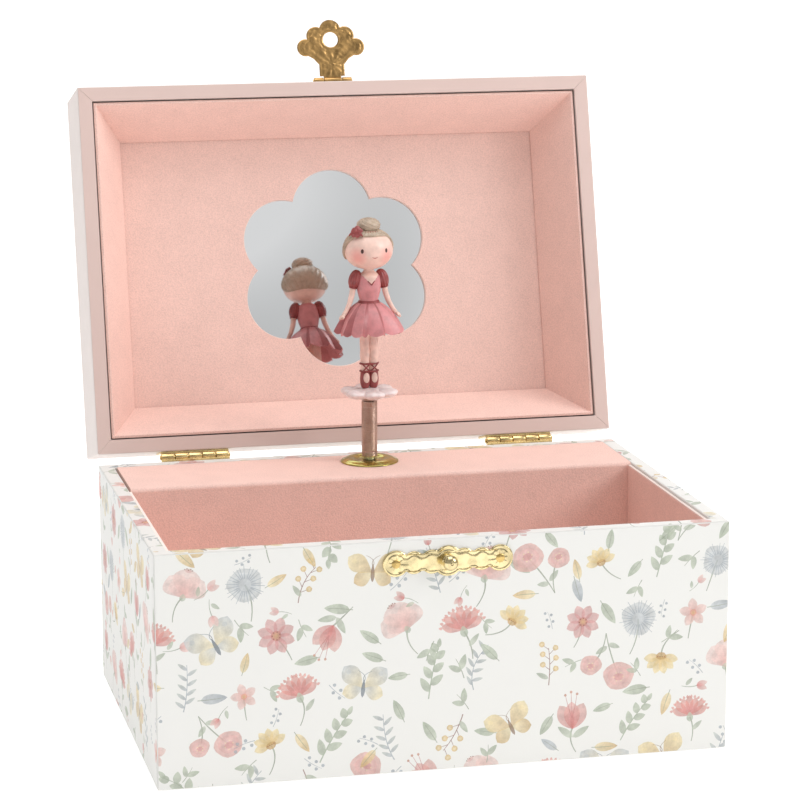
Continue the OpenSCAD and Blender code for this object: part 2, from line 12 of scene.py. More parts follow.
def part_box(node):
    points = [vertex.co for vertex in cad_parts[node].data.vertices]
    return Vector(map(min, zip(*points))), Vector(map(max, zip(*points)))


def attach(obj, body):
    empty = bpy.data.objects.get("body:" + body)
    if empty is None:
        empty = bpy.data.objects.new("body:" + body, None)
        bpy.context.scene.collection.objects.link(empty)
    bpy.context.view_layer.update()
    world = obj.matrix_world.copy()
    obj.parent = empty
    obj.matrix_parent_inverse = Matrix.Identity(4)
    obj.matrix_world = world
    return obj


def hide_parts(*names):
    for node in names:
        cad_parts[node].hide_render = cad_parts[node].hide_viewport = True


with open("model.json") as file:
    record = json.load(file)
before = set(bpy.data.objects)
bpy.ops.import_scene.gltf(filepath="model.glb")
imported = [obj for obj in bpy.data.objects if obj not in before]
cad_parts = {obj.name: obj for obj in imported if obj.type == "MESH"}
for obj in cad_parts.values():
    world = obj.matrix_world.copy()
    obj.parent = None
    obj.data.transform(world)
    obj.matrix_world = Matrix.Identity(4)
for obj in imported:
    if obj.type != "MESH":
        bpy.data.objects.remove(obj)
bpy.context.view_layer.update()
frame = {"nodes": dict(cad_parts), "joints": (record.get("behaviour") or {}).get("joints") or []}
nodes = frame["nodes"]
joints = {joint["name"]: joint for joint in frame["joints"]}

MM = 0.001
TURN = 2 * math.pi
UP = Vector((0, 0, 1))

# ------------------------------------------------------------------ sizes from the frame, in metres

BODY_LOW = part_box("body_front")[0]
BODY_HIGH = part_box("body_back")[1]
BODY_H = BODY_HIGH.z
BOX_W = BODY_HIGH.x - BODY_LOW.x
BOX_D = BODY_HIGH.y - BODY_LOW.y
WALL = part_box("body_left")[1].x - BODY_LOW.x
DECK_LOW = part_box("deck_front")[0]
DECK_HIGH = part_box("deck_top")[1]
HINGE = Vector(joints["lid_hinge"]["pos_m"])
HASP_PIN = Vector(joints["hasp_hinge"]["pos_m"])
DOLL = Vector(joints["doll_turn"]["pos_m"])
OPEN = math.radians(joints["lid_hinge"]["range_deg"][1])
ARBOR = Vector(joints["key_turn"]["pos_m"])
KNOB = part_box("clasp_knob")
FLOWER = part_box("flower_base")
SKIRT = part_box("doll_skirt")
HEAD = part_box("doll_head")
SIDES = ("front", "right", "back", "left")

# Turns what is drawn on the closed lid to where the open lid stands
LID_POSE = (Matrix.Translation(HINGE) @ Matrix.Rotation(-OPEN, 4, "X")
            @ Matrix.Translation(-HINGE))
LID_UNPOSE = LID_POSE.inverted()


def closed_box(node):
    """Lowest and highest corner of a lid node with the lid closed."""
    points = [LID_UNPOSE @ v.co for v in nodes[node].data.vertices]
    return (Vector([min(p[i] for p in points) for i in range(3)]),
            Vector([max(p[i] for p in points) for i in range(3)]))


LID_LOW, _ = closed_box("lid_walls")
LID_HIGH = closed_box("lid_top")[1]
PANEL_LOW, PANEL_HIGH = closed_box("lid_panel")
LINING_LOW, LINING_HIGH = closed_box("lid_lining")

# ------------------------------------------------------------------ colour and material helpers


def linear(rgb):
    """Display colour, 0 to 255, as linear light."""
    return tuple((c / 255 / 12.92) if c <= 10 else ((c / 255 + 0.055) / 1.055) ** 2.4 for c in rgb)


def rgba(rgb):
    return (*linear(rgb), 1.0)


class Material:
    """A node material: a Principled shader, with helpers that add and link nodes."""

    def __init__(self, name, rgb, roughness=0.5, metallic=0.0, **sockets):
        self.data = bpy.data.materials.new(name)
        self.data.use_nodes = True
        self.tree = self.data.node_tree
        self.shader = self.tree.nodes["Principled BSDF"]
        self.shader.inputs["Base Color"].default_value = rgba(rgb)
        self.shader.inputs["Roughness"].default_value = roughness
        self.shader.inputs["Metallic"].default_value = metallic
        for socket, value in sockets.items():
            self.shader.inputs[socket.replace("_", " ")].default_value = value
        self.coords = self.node("ShaderNodeTexCoord").outputs["Object"]

    def node(self, kind, **values):
        made = self.tree.nodes.new(kind)
        for key, value in values.items():
            if hasattr(made, key):
                setattr(made, key, value)
            else:
                made.inputs[key.replace("_", " ")].default_value = value
        return made

    def link(self, source, target):
        self.tree.links.new(source, target)

    def noise(self, scale, detail=3.0, stretch=None):
        """Noise with a scale in waves a metre."""
        made = self.node("ShaderNodeTexNoise", Scale=scale, Detail=detail)
        coords = self.coords
        if stretch:
            mapping = self.node("ShaderNodeMapping", Scale=stretch)
            self.link(coords, mapping.inputs["Vector"])
            coords = mapping.outputs["Vector"]
        self.link(coords, made.inputs["Vector"])
        return made.outputs["Fac"]

    def ramp(self, source, stops):
        """Colour or value ramp: stops are (position, display colour)."""
        made = self.node("ShaderNodeValToRGB")
        elements = made.color_ramp.elements
        while len(elements) < len(stops):
            elements.new(0.5)
        for element, (place, rgb) in zip(elements, stops):
            element.position = place
            element.color = rgba(rgb)
        self.link(source, made.inputs["Fac"])
        return made.outputs["Color"]

    def span(self, source, low, high, out_low, out_high):
        made = self.node("ShaderNodeMapRange")
        for i, value in enumerate((low, high, out_low, out_high)):
            made.inputs[i + 1].default_value = value
        self.link(source, made.inputs[0])
        return made.outputs[0]

    def mix(self, a, b, factor, blend="MIX"):
        """Mixes two colours: each is a socket or a display colour."""
        made = self.node("ShaderNodeMix", data_type="RGBA", blend_type=blend)
        for socket, value in ((made.inputs[6], a), (made.inputs[7], b)):
            if isinstance(value, tuple):
                socket.default_value = rgba(value)
            else:
                self.link(value, socket)
        if isinstance(factor, float):
            made.inputs[0].default_value = factor
        else:
            self.link(factor, made.inputs[0])
        return made.outputs[2]

    def base(self, colour):
        self.link(colour, self.shader.inputs["Base Color"])

    def rough(self, value):
        self.link(value, self.shader.inputs["Roughness"])

    def bump(self, height, distance, strength=1.0):
        """Adds a bump on top of those already there; distance in metres."""
        made = self.node("ShaderNodeBump", Distance=distance, Strength=strength)
        self.link(height, made.inputs["Height"])
        target = self.shader.inputs["Normal"]
        if target.is_linked:
            self.link(target.links[0].from_socket, made.inputs["Normal"])
        self.link(made.outputs["Normal"], target)


def mottled(material, rgb, light, dark, scale, detail=3.0):
    """Base colour that drifts between a lighter and a darker tone."""
    wave = material.noise(scale, detail)
    material.base(material.ramp(wave, [(0.32, dark), (0.5, rgb), (0.68, light)]))


def tone(rgb, factor):
    return tuple(max(0, min(255, c * factor)) for c in rgb)


def paper_material(name, rgb):
    """Smooth uncoated paper over board: faint cloudiness and a fine tooth."""
    m = Material(name, rgb, roughness=0.62)
    mottled(m, rgb, tone(rgb, 1.004), tone(rgb, 0.994), 60)
    m.rough(m.span(m.noise(900), 0.3, 0.7, 0.55, 0.7))
    m.bump(m.noise(2600, 4), 0.00004, 0.5)
    m.bump(m.noise(160, 2), 0.00012, 0.35)
    return m.data


def print_material():
    """Paper with the print's colours on it, uneven as watercolour is."""
    m = Material("printed_paper", (238, 237, 233), roughness=0.55)
    ink = m.node("ShaderNodeVertexColor", layer_name="print").outputs["Color"]
    wash = m.ramp(m.noise(420, 4), [(0.3, (228, 228, 228)), (0.7, (255, 255, 255))])
    grains = m.ramp(m.noise(1500, 3), [(0.35, (245, 245, 245)), (0.65, (255, 255, 255))])
    washed = m.mix(ink, wash, 1.0, "MULTIPLY")
    washed = m.mix(washed, grains, 1.0, "MULTIPLY")
    inked = m.node("ShaderNodeVertexColor", layer_name="print").outputs["Alpha"]
    m.base(m.mix(ink, washed, inked))
    m.rough(m.span(m.noise(900), 0.3, 0.7, 0.48, 0.62))
    m.bump(m.noise(2600, 4), 0.00003, 0.5)
    m.bump(m.noise(140, 2), 0.00015, 0.35)
    return m.data


def flock_material(name, rgb):
    """Short flocked pile: a fine speckle, soft blotches and a sheen at grazing angles."""
    m = Material(name, rgb, roughness=0.95, Sheen_Weight=0.2, Sheen_Roughness=0.5)
    m.shader.inputs["Sheen Tint"].default_value = rgba(tone(rgb, 1.1))
    m.shader.inputs["Specular IOR Level"].default_value = 0.15
    speckle = m.ramp(m.noise(2200, 5),
                     [(0.36, tone(rgb, 0.92)), (0.5, rgb), (0.64, tone(rgb, 1.05))])
    blotch = m.ramp(m.noise(120, 3), [(0.35, tone(rgb, 0.98)), (0.65, tone(rgb, 1.02))])
    m.base(m.mix(speckle, blotch, 0.45))
    m.bump(m.noise(1900, 5), 0.00022, 0.6)
    return m.data


def brass_material(name, rgb, roughness, hammer=0.0):
    """Plated brass: polish that varies, faint tarnish, and hammer marks where it has them."""
    m = Material(name, rgb, roughness=roughness, metallic=1.0)
    mottled(m, rgb, tone(rgb, 1.08), tone(rgb, 0.86), 260, 4)
    m.rough(m.span(m.noise(700, 4), 0.3, 0.7, roughness * 0.75, roughness * 1.35))
    m.bump(m.noise(900, 2), 0.00006, 0.3)
    if hammer:
        m.bump(m.noise(420, 2), hammer, 0.8)
    return m.data


def steel_material(name, rgb, roughness, stretch=(1, 1, 1)):
    """Bright steel with fine directional scratches."""
    m = Material(name, rgb, roughness=roughness, metallic=1.0)
    mottled(m, rgb, tone(rgb, 1.05), tone(rgb, 0.92), 200)
    m.rough(m.span(m.noise(900, 4, stretch), 0.3, 0.7, roughness * 0.8, roughness * 1.3))
    m.bump(m.noise(2200, 3, stretch), 0.00002, 0.4)
    return m.data


def paint_material(name, rgb, roughness=0.42):
    """Hand-painted moulded resin: slight pooling of the paint and a soft satin skin."""
    m = Material(name, rgb, roughness=roughness, Coat_Weight=0.15, Coat_Roughness=0.3)
    m.shader.inputs["Subsurface Weight"].default_value = 0.06
    m.shader.inputs["Subsurface Radius"].default_value = (0.002, 0.001, 0.0008)
    m.shader.inputs["Subsurface Scale"].default_value = 0.4
    mottled(m, rgb, tone(rgb, 1.05), tone(rgb, 0.93), 420)
    m.rough(m.span(m.noise(1200), 0.3, 0.7, roughness * 0.85, roughness * 1.2))
    m.bump(m.noise(1500, 3), 0.00003, 0.4)
    return m.data


def face_material(rgb, cheek):
    """Skin with a round blush on each cheek, placed by the head's own size."""
    m = Material("doll_face", rgb, roughness=0.4, Coat_Weight=0.15, Coat_Roughness=0.3)
    skin = m.ramp(m.noise(420), [(0.3, tone(rgb, 0.95)), (0.7, tone(rgb, 1.04))])
    low, high = HEAD
    size = high - low
    for side in (-1, 1):
        centre = Vector((DOLL.x + side * 0.31 * size.x, low.y + 0.14 * size.y, low.z + 0.38 * size.z))
        offset = m.node("ShaderNodeVectorMath", operation="SUBTRACT")
        m.link(m.coords, offset.inputs[0])
        offset.inputs[1].default_value = centre
        length = m.node("ShaderNodeVectorMath", operation="LENGTH")
        m.link(offset.outputs[0], length.inputs[0])
        blush = m.span(length.outputs["Value"], 0.001, 0.0042, 0.75, 0.0)
        skin = m.mix(skin, cheek, blush)
    m.base(skin)
    m.bump(m.noise(1500, 3), 0.00002, 0.4)
    return m.data


def mirror_material():
    """Thin glass mirror, very slightly wavy; lighter and darker patches in its colour are a painted
    reflection.
    """
    m = Material("mirror", (226, 228, 230), roughness=0.03, metallic=1.0)
    # painted reflection: soft lighter and darker patches in the mirror's colour stand in for the surroundings
    # it reflects
    m.base(m.ramp(m.noise(11, 0), [(0.38, (196, 198, 199)), (0.62, (236, 237, 238))]))
    m.bump(m.noise(26, 1), 0.00004, 0.3)
    return m.data


PAPER = (229, 228, 224)
PINK = (216, 191, 183)
FLOCK = (241, 205, 194)
SKIN = (240, 204, 190)
DRESS = (212, 140, 142)
ROSE = (150, 68, 67)

MATS = {
    "print": print_material(),
    "paper": paper_material("white_paper", PAPER),
    "pink": paper_material("pink_paper", PINK),
    "cover": paper_material("lid_cover_paper", (228, 217, 212)),
    "flock": flock_material("pink_flock", FLOCK),
    "card_edge": paper_material("card_edge", (247, 232, 224)),
    "gold": brass_material("bright_brass", (226, 208, 160), 0.2),
    "old_gold": brass_material("textured_brass", (190, 152, 98), 0.34, 0.0002),
    "hinge": brass_material("hinge_brass", (226, 200, 142), 0.24),
    "bush": brass_material("bush_brass", (182, 172, 98), 0.16),
    "nail": brass_material("nail_brass", (206, 176, 112), 0.28),
    "steel": steel_material("steel", (196, 197, 200), 0.28, (1, 1, 12)),
    "dark_steel": steel_material("dark_steel", (112, 112, 116), 0.38),
    "cast": steel_material("cast_frame", (170, 171, 174), 0.5),
    # painted reflection: the steel wire is tinted pink-taupe, the colour of the pink surroundings seen in it
    "spring": steel_material("spring_wire", (192, 168, 154), 0.3, (1, 1, 30)),
    "mirror": mirror_material(),
    "skin": paint_material("doll_skin", SKIN),
    "face": face_material(SKIN, (236, 150, 140)),
    "dress": paint_material("doll_dress", DRESS),
    # painted shade: a darker copy of the dress paint for the turned faces of the skirt's pleats
    "pleat": paint_material("doll_pleat_painted_shade", (172, 100, 101)),
    "rose": paint_material("doll_rose", ROSE, 0.36),
    "hair": paint_material("doll_hair", (184, 163, 142), 0.28),
    "petal": paint_material("doll_petal", (250, 232, 229), 0.32),
    "plug": paint_material("doll_plug", (186, 158, 142), 0.4),
    "eye": paint_material("doll_eye", (74, 44, 36), 0.3),
    "mouth": paint_material("doll_mouth", (186, 104, 92), 0.4),
}

# ------------------------------------------------------------------ mesh helpers


def add_object(name, mesh, mats, smooth=True):
    """Puts a mesh in the scene with its materials."""
    obj = bpy.data.objects.new(name, mesh)
    bpy.context.scene.collection.objects.link(obj)
    for mat in mats:
        mesh.materials.append(mat)
    for face in mesh.polygons:
        face.use_smooth = smooth
    return obj


def mesh_piece(name, verts, faces, mat):
    mesh = bpy.data.meshes.new(name)
    mesh.from_pydata([tuple(v) for v in verts], [], faces)
    mesh.validate()
    mesh.update()
    return add_object(name, mesh, [mat])


def grid_faces(rings, columns, close=False):
    """Quads between rings of points; close joins the last ring to the first."""
    faces = []
    for j in range(rings if close else rings - 1):
        here, there = j * columns, (j + 1) % rings * columns
        for i in range(columns):
            k = (i + 1) % columns
            faces.append((here + i, here + k, there + k, there + i))
    return faces


def caps(rings, columns):
    """The two faces that shut the ends of a grid."""
    return [tuple(range(columns))[::-1], tuple((rings - 1) * columns + k for k in range(columns))]


def around(count, point):
    """Points round a full turn: point is given each angle."""
    return [point(TURN * i / count) for i in range(count)]


def arc(centre, radius, degrees, squash=1.0):
    """Flat points at some angles on an arc, which may be squashed in height."""
    return [(centre[0] + radius * math.cos(math.radians(a)),
             centre[1] + squash * radius * math.sin(math.radians(a))) for a in degrees]


def rectangle(x0, y0, x1, y1, unit=1.0):
    return [(x * unit, y * unit) for x, y in ((x0, y0), (x1, y0), (x1, y1), (x0, y1))]


def outward(obj, sharp=0):
    """Turns faces outwards; edges sharper than so many degrees stay sharp in the shading."""
    bm = bmesh.new()
    bm.from_mesh(obj.data)
    bmesh.ops.recalc_face_normals(bm, faces=bm.faces)
    bm.to_mesh(obj.data)
    bm.free()
    return sharpened(obj, sharp) if sharp else obj


def sharpened(obj, degrees):
    obj.data.set_sharp_from_angle(angle=math.radians(degrees))
    return obj


def bm_piece(name, bm, mat, smooth=True):
    bmesh.ops.recalc_face_normals(bm, faces=bm.faces)
    mesh = bpy.data.meshes.new(name)
    bm.to_mesh(mesh)
    bm.free()
    obj = bpy.data.objects.new(name, mesh)
    bpy.context.scene.collection.objects.link(obj)
    obj.data.materials.append(mat)
    for face in mesh.polygons:
        face.use_smooth = smooth
    return obj


def apply_modifiers(obj):
    depsgraph = bpy.context.evaluated_depsgraph_get()
    mesh = bpy.data.meshes.new_from_object(obj.evaluated_get(depsgraph))
    obj.modifiers.clear()
    obj.data = mesh
    return obj


def bevelled(obj, width, segments=3):
    """Rounds an object's sharp edges and shades it smooth across them."""
    mod = obj.modifiers.new("round", "BEVEL")
    mod.width = width
    mod.segments = segments
    mod.limit_method = "ANGLE"
    mod.angle_limit = math.radians(40)
    mod.harden_normals = True
    return apply_modifiers(obj)


def subdivided(obj):
    mod = obj.modifiers.new("subdivide", "SUBSURF")
    mod.levels = mod.render_levels = 1
    return apply_modifiers(obj)


def moved(obj, matrix):
    obj.data.transform(matrix)
    return obj


def prism(name, outline, low, high, mat, bevel, segments=3):
    """Upright prism over a flat outline, with rounded edges."""
    count = len(outline)
    verts = [(x, y, z) for z in (low, high) for x, y in outline]
    faces = caps(2, count) + grid_faces(2, count)
    return bevelled(mesh_piece(name, verts, faces, mat), bevel, segments)


def turned(name, profile, mat, segments=64, centre=(0, 0), shape=None):
    """Solid of revolution about an upright axis: profile is (radius, height) from bottom to top."""
    verts = []
    for r, z in profile:
        for i in range(segments):
            a = TURN * i / segments
            p = Vector((centre[0] + r * math.cos(a), centre[1] + r * math.sin(a), z))
            verts.append(shape(p, a, r, z) if shape else p)
    rings = len(profile)
    return mesh_piece(name, verts, grid_faces(rings, segments) + caps(rings, segments), mat)


def tube(name, path, radii, mat, sides=12, close=False):
    """Round bar along a path, with a radius for each point."""
    if not isinstance(radii, (list, tuple)):
        radii = [radii] * len(path)
    verts = []
    count = len(path)
    side = None
    for i, p in enumerate(path):
        ahead = path[(i + 1) % count] if close or i < count - 1 else path[i]
        behind = path[i - 1] if close or i > 0 else path[i]
        along = (ahead - behind).normalized()
        side = along.orthogonal() if side is None else side - along * side.dot(along)
        side.normalize()
        across = along.cross(side)
        verts += around(sides, lambda a: p + radii[i] * (math.cos(a) * side + math.sin(a) * across))
    faces = grid_faces(count, sides, close) + ([] if close else caps(count, sides))
    return mesh_piece(name, verts, faces, mat)


def joined(name, parts):
    """One object made of several."""
    bm = bmesh.new()
    mats = []
    for part in parts:
        start = len(bm.faces)
        bm.from_mesh(part.data)
        bm.faces.ensure_lookup_table()
        for face in bm.faces[start:]:
            face.material_index += len(mats)
        mats += part.data.materials
        bpy.data.objects.remove(part)
    unique = list(dict.fromkeys(mats))
    for face in bm.faces:
        face.material_index = unique.index(mats[face.material_index])
    mesh = bpy.data.meshes.new(name)
    bm.to_mesh(mesh)
    bm.free()
    obj = bpy.data.objects.new(name, mesh)
    bpy.context.scene.collection.objects.link(obj)
    indices = [face.material_index for face in mesh.polygons]
    for mat in unique:
        mesh.materials.append(mat)
    for face, index in zip(mesh.polygons, indices):
        face.material_index = index
    return obj


def finish_piece(obj, body, slot, *replaced):
    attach(obj, body)
    if replaced:
        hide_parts(*replaced)
    return obj

# ------------------------------------------------------------------ the print, in millimetres

Layer = namedtuple("Layer", "points inner outer alpha centre reach")

PALE_PINK, BLUSH_EDGE = (243, 216, 208), (229, 182, 173)
DUSTY, DEEP_DUSTY = (226, 172, 167), (203, 136, 134)
CORAL, RED_CORAL = (232, 164, 152), (210, 118, 114)
OCHRE, CREAM = (218, 184, 122), (245, 228, 180)
SAGE, OLIVE = (198, 206, 186), (170, 181, 158)
GREY_BLUE, SLATE = (203, 208, 210), (166, 174, 182)
STALK = (158, 165, 144)
BROWN = (150, 98, 84)


def swing(at, angle, length):
    a = math.radians(angle)
    return Vector((at[0] + length * math.cos(a), at[1] + length * math.sin(a)))


def petal(at, angle, length, width, inner, outer, alpha=0.85, peak=0.8, steps=9):
    """Petal or leaf from its base, widest towards the tip when peak is over 1."""
    a = math.radians(angle)
    along, across = Vector((math.cos(a), math.sin(a))), Vector((-math.sin(a), math.cos(a)))
    half = [(i / steps * length, width / 2 * math.sin(math.pi * (i / steps) ** peak) ** 0.75)
            for i in range(1, steps)]
    at = Vector(at)
    points = [at] + [at + along * l - across * w for l, w in half] + [at + along * length]
    points += [at + along * l + across * w for l, w in reversed(half)]
    return Layer(points, inner, outer, alpha, at, length)


def fan(at, angles, *look):
    """Like petals from one point."""
    return [petal(at, angle, *look) for angle in angles]


def disc(at, radius, inner, outer, alpha=0.85, wobble=0.04, flat=1.0, count=18):
    """Roughly round spot."""
    def point(a):
        r = radius * (1 + wobble * math.sin(3 * a + at[0]) + wobble * math.sin(5 * a + at[1]))
        return Vector((at[0] + r * math.cos(a), at[1] + flat * r * math.sin(a)))
    return Layer(around(count, point), inner, outer, alpha, Vector(at), radius)


def dots(places, radius, inner, outer, alpha, count):
    return [disc(at, radius, inner, outer, alpha, count=count) for at in places]


def on_curve(start, middle, end, t):
    start, middle, end = Vector(start), Vector(middle), Vector(end)
    return (1 - t) ** 2 * start + 2 * t * (1 - t) * middle + t * t * end


def stalk(start, middle, end, width=0.45, rgb=STALK, steps=8):
    """Thin curved line that tapers towards its end."""
    start, middle, end = Vector(start), Vector(middle), Vector(end)
    left, right = [], []
    for i in range(steps + 1):
        t = i / steps
        p = on_curve(start, middle, end, t)
        along = ((1 - t) * (middle - start) + t * (end - middle)).normalized()
        across = Vector((-along.y, along.x)) * width * (0.5 - 0.25 * t)
        left.append(p + across)
        right.append(p - across)
    return Layer(left + right[::-1], rgb, rgb, 0.9, start, 20)


def poppy(rng):
    return [stalk((0, -2), (rng.uniform(-3, 3), -5), (rng.uniform(-2, 2), -9.5)),
            *fan((0, -2.2), (48, 132), 7.6, 7, BLUSH_EDGE, PALE_PINK, 0.72, 1.5),
            petal((0, -2.2), 90, 8.6, 8, BLUSH_EDGE, PALE_PINK, 0.72, 1.5),
            *fan((0, -2.4), (66, 114), 6.4, 6.4, DUSTY, PALE_PINK, 0.6, 1.4),
            disc((0, 5.6), 1.0, DEEP_DUSTY, BLUSH_EDGE, 0.5, flat=0.45),
            *dots([(0.55 * (i - 2), 5.9 + 0.3 * (i % 2)) for i in range(5)], 0.2, BROWN, BROWN, 0.8, 7),
            petal((0, -3.2), 90, 2.2, 1.8, OLIVE, SAGE, 0.7)]


def blossom(rng):
    layers = [stalk((0, -1), (1, -4), (rng.uniform(-2, 3), -7.5))]
    start = rng.uniform(0, 45)
    layers += fan((0, 0), [start + 45 * i for i in range(8)], 4.9, 2.9, DEEP_DUSTY, DUSTY, 0.74, 1.2)
    layers.append(disc((0, 0), 1.35, OCHRE, DEEP_DUSTY, 0.85, count=12))
    return layers + dots([swing((0, 0), 51.4 * i, 1.0) for i in range(7)], 0.2, BROWN, BROWN, 0.85, 6)


def button_pair(rng):
    foot = (rng.uniform(-1, 1), -8.5)
    layers = []
    for at, radius in (((-3, 3), 4.1), ((4.4, -0.4), 2.9)):
        eye = (at[0], at[1] + 0.3)
        layers += [stalk(at, (at[0] * 0.2, -3), foot),
                   disc(at, radius, DUSTY, BLUSH_EDGE, 0.82, 0.03, 0.9),
                   disc(at, radius * 0.72, PALE_PINK, DUSTY, 0.55, 0.03, 0.85),
                   disc(eye, radius * 0.34, DEEP_DUSTY, DUSTY, 0.8, 0.04, 0.7, 12),
                   *dots([swing(eye, 60 * i, radius * 0.3) for i in range(6)], 0.17, CREAM, CREAM, 0.9, 6)]
    return layers + [petal((0, -5), 30, 3.6, 1.5, SAGE, OLIVE, 0.75),
                     petal((-0.3, -5.6), 160, 3.2, 1.4, SAGE, OLIVE, 0.75)]


def carnation(rng):
    layers = [stalk((0, -1.5), (1.5, -5), (rng.uniform(-2, 2), -9))]
    for i in range(7):
        angle = 24 + 22 * i
        layers.append(petal((0, -1.2), angle, 5.8 + 0.5 * (i % 2), 2.5, RED_CORAL, CORAL, 0.72, 1.5))
        layers += [petal(swing((0, -1.2), angle + 5.5 * side, 5.4), angle + 8 * side, 1.1, 0.8,
                         CORAL, CORAL, 0.8, 0.7, 4) for side in (-1, 1)]
    return layers + [petal((0, -3), 90, 3, 2, OLIVE, SAGE, 0.8),
                     petal((0.6, -5.5), 40, 4, 1.4, SAGE, OLIVE, 0.75)]


def bellflower(rng):
    layers = [stalk((0, -2.5), (-1.5, -5.5), (rng.uniform(-3, 1), -9)),
              *fan((0, -2.8), (64, 116, 90), 7.2, 4.2, RED_CORAL, BLUSH_EDGE, 0.75, 1.1)]
    for angle, length in ((78, 7.4), (90, 7.9), (102, 7.4)):
        end = swing((0, -1), angle, length)
        layers += [stalk((0, 0), (end.x * 0.6, 3), end, 0.22, DEEP_DUSTY, 5),
                   disc(end, 0.36, OCHRE, DEEP_DUSTY, 0.9, count=8)]
    return layers + fan((0, -5), (140, 30), 5, 1.8, SAGE, OLIVE, 0.8)


def half_daisy(rng):
    return [stalk((0, 0), (0.5, -4), (rng.choice((-4, 4)), -7)),
            *fan((0, 0), range(8, 180, 33), 4.6, 2.3, OCHRE, CREAM, 0.9, 1.2),
            disc((0, -0.2), 1.4, OCHRE, (196, 156, 104), 0.9, flat=0.7, count=12),
            *dots([(0.6 * (i - 1.5), 0) for i in range(4)], 0.18, BROWN, BROWN, 0.8, 6)]


def puffball(rng):
    layers = [stalk((0, 0), (0.8, -5), (rng.uniform(-2, 2), -9.5)),
              disc((0, 0), 4.4, GREY_BLUE, GREY_BLUE, 0.55, 0.05, count=22),
              disc((0, 0), 3.0, SLATE, GREY_BLUE, 0.45, 0.05)]
    for i in range(26):
        angle = 360 / 26 * i + rng.uniform(-4, 4)
        end = swing((0, 0), angle, rng.uniform(4.4, 5.4))
        layers.append(stalk(swing((0, 0), angle, 1.6), swing((0, 0), angle, 3), end, 0.24, SLATE, 3))
    return layers


def butterfly(rng, near, far, body):
    layers = []
    lean = rng.uniform(-8, 8)
    for way in (-1, 1):
        upper, lower = (angle + lean if way < 0 else 180 - angle - lean for angle in (40, -22))
        layers += [petal((0, 0), upper, 8.2, 5.2, far, near, 0.85, 1.5),
                   petal((0, 0), lower, 5.8, 4.2, near, far, 0.8, 1.4),
                   disc(swing((0, 0), upper, 6.1), 0.7, body, near, 0.5, count=10),
                   stalk((0, 1.8), (way, 3.6), (way * -1.9, 4.8), 0.2, body, 5)]
    return layers + [petal((0, -2.6), 90, 5, 1.1, body, body, 0.9)]


def yellow_butterfly(rng):
    return butterfly(rng, CREAM, OCHRE, (150, 118, 90))


def grey_butterfly(rng):
    return butterfly(rng, GREY_BLUE, CREAM, (118, 128, 138))


def leafy(start, middle, end, count, first, step, leaf):
    """Leaves by turns on either side of a curve; leaf is given a place, a side and a number."""
    return [leaf(on_curve(start, middle, end, first + step * i), 1 if i % 2 else -1, i) for i in range(count)]


def sprig(rng):
    bend = rng.uniform(-4, 4)
    curve = (0, -7), (bend, 0), (-bend * 0.5, 7)
    return [stalk(*curve, 0.35, OLIVE),
            *leafy(*curve, 7, 0.14, 0.13, lambda p, side, i: petal(
                p, 90 - side * 42, 4.6 - 0.28 * i, 2.1, OLIVE, SAGE, 0.85)),
            petal(curve[2], 92, 2.6, 1.3, OLIVE, SAGE, 0.85)]


def twig(rng):
    bend = rng.uniform(-5, 5)
    curve = (0, -6.5), (bend, -1), (bend * 0.3, 7)
    return [stalk(*curve, 0.3, SLATE),
            *leafy(*curve, 9, 0.1, 0.1, lambda p, side, i: petal(
                p, 90 - side * 55, 3.3, 1.05, SLATE, (202, 208, 200), 0.8))]


def berries(rng):
    curve = (0, -6), (rng.uniform(-2, 2), 0), (0.5, 5)
    layers = [stalk(*curve, 0.3, BROWN)]
    for i in range(6):
        p = on_curve(*curve, 0.25 + 0.14 * i)
        q = swing(p, 138 if i % 2 else 42, 2.6)
        layers += [stalk(p, (p + q) / 2, q, 0.2, BROWN, 3), disc(q, 0.85, CREAM, OCHRE, 0.9, count=10)]
    return layers + [petal((0, -4), 150, 4, 1.5, SAGE, OLIVE, 0.8)]


def star_flower(rng):
    return [stalk((0, 0), (-1, -3), (rng.uniform(-2, 2), -6.5)),
            *fan((0, 0), range(18, 378, 72), 3.8, 2.4, CORAL, PALE_PINK, 0.8, 1.1),
            disc((0, 0), 0.9, OCHRE, CORAL, 0.9, count=10)]


def lone_leaf(rng):
    rgb = rng.choice(((SAGE, OLIVE), (OLIVE, SAGE), (GREY_BLUE, SLATE), (CREAM, OCHRE)))
    return [petal((0, -3.4), 90, 6.8, 2.7, rgb[0], rgb[1], 0.85),
            stalk((0, -4.2), (0.2, 0), (0, 2.2), 0.22, STALK, 5)]


def leaf_pair(rng):
    return [stalk((0, -3), (0.4, 0), (0, 2.6), 0.25, STALK, 5),
            petal((0, -0.6), 50, 4.2, 1.8, SAGE, OLIVE, 0.85),
            petal((0, -1.0), 132, 3.6, 1.6, OLIVE, SAGE, 0.85)]


def bud(rng):
    rgb = rng.choice((DUSTY, CORAL, RED_CORAL))
    return [stalk((0, 0), (0.8, -2), (0.2, -4.6), 0.25),
            *fan((0, -0.4), (72, 108), 3.1, 1.7, rgb, PALE_PINK, 0.85),
            petal((0, -3.4), 140, 2.6, 1.1, SAGE, OLIVE, 0.8)]


def tiny_sprig(rng):
    places = [(0.9 if i % 2 else -0.9, -1.8 + i * 1.15) for i in range(5)]
    return [stalk((0, -3), (0.5, 0), (0, 3), 0.2, SLATE, 4), *dots(places, 0.5, GREY_BLUE, SLATE, 0.8, 8)]


BIG_MOTIFS = (poppy, sprig, blossom, yellow_butterfly, button_pair, carnation, puffball, twig,
              bellflower, half_daisy, grey_butterfly, berries, star_flower)
SMALL_MOTIFS = (lone_leaf, leaf_pair, bud, tiny_sprig, lone_leaf)
MOTIF_REACH = 15

# A motif's parts over this size, and paler than a stalk, are shaded from their middle
SHADED_REACH, LINE_ALPHA = 2.5, 0.89


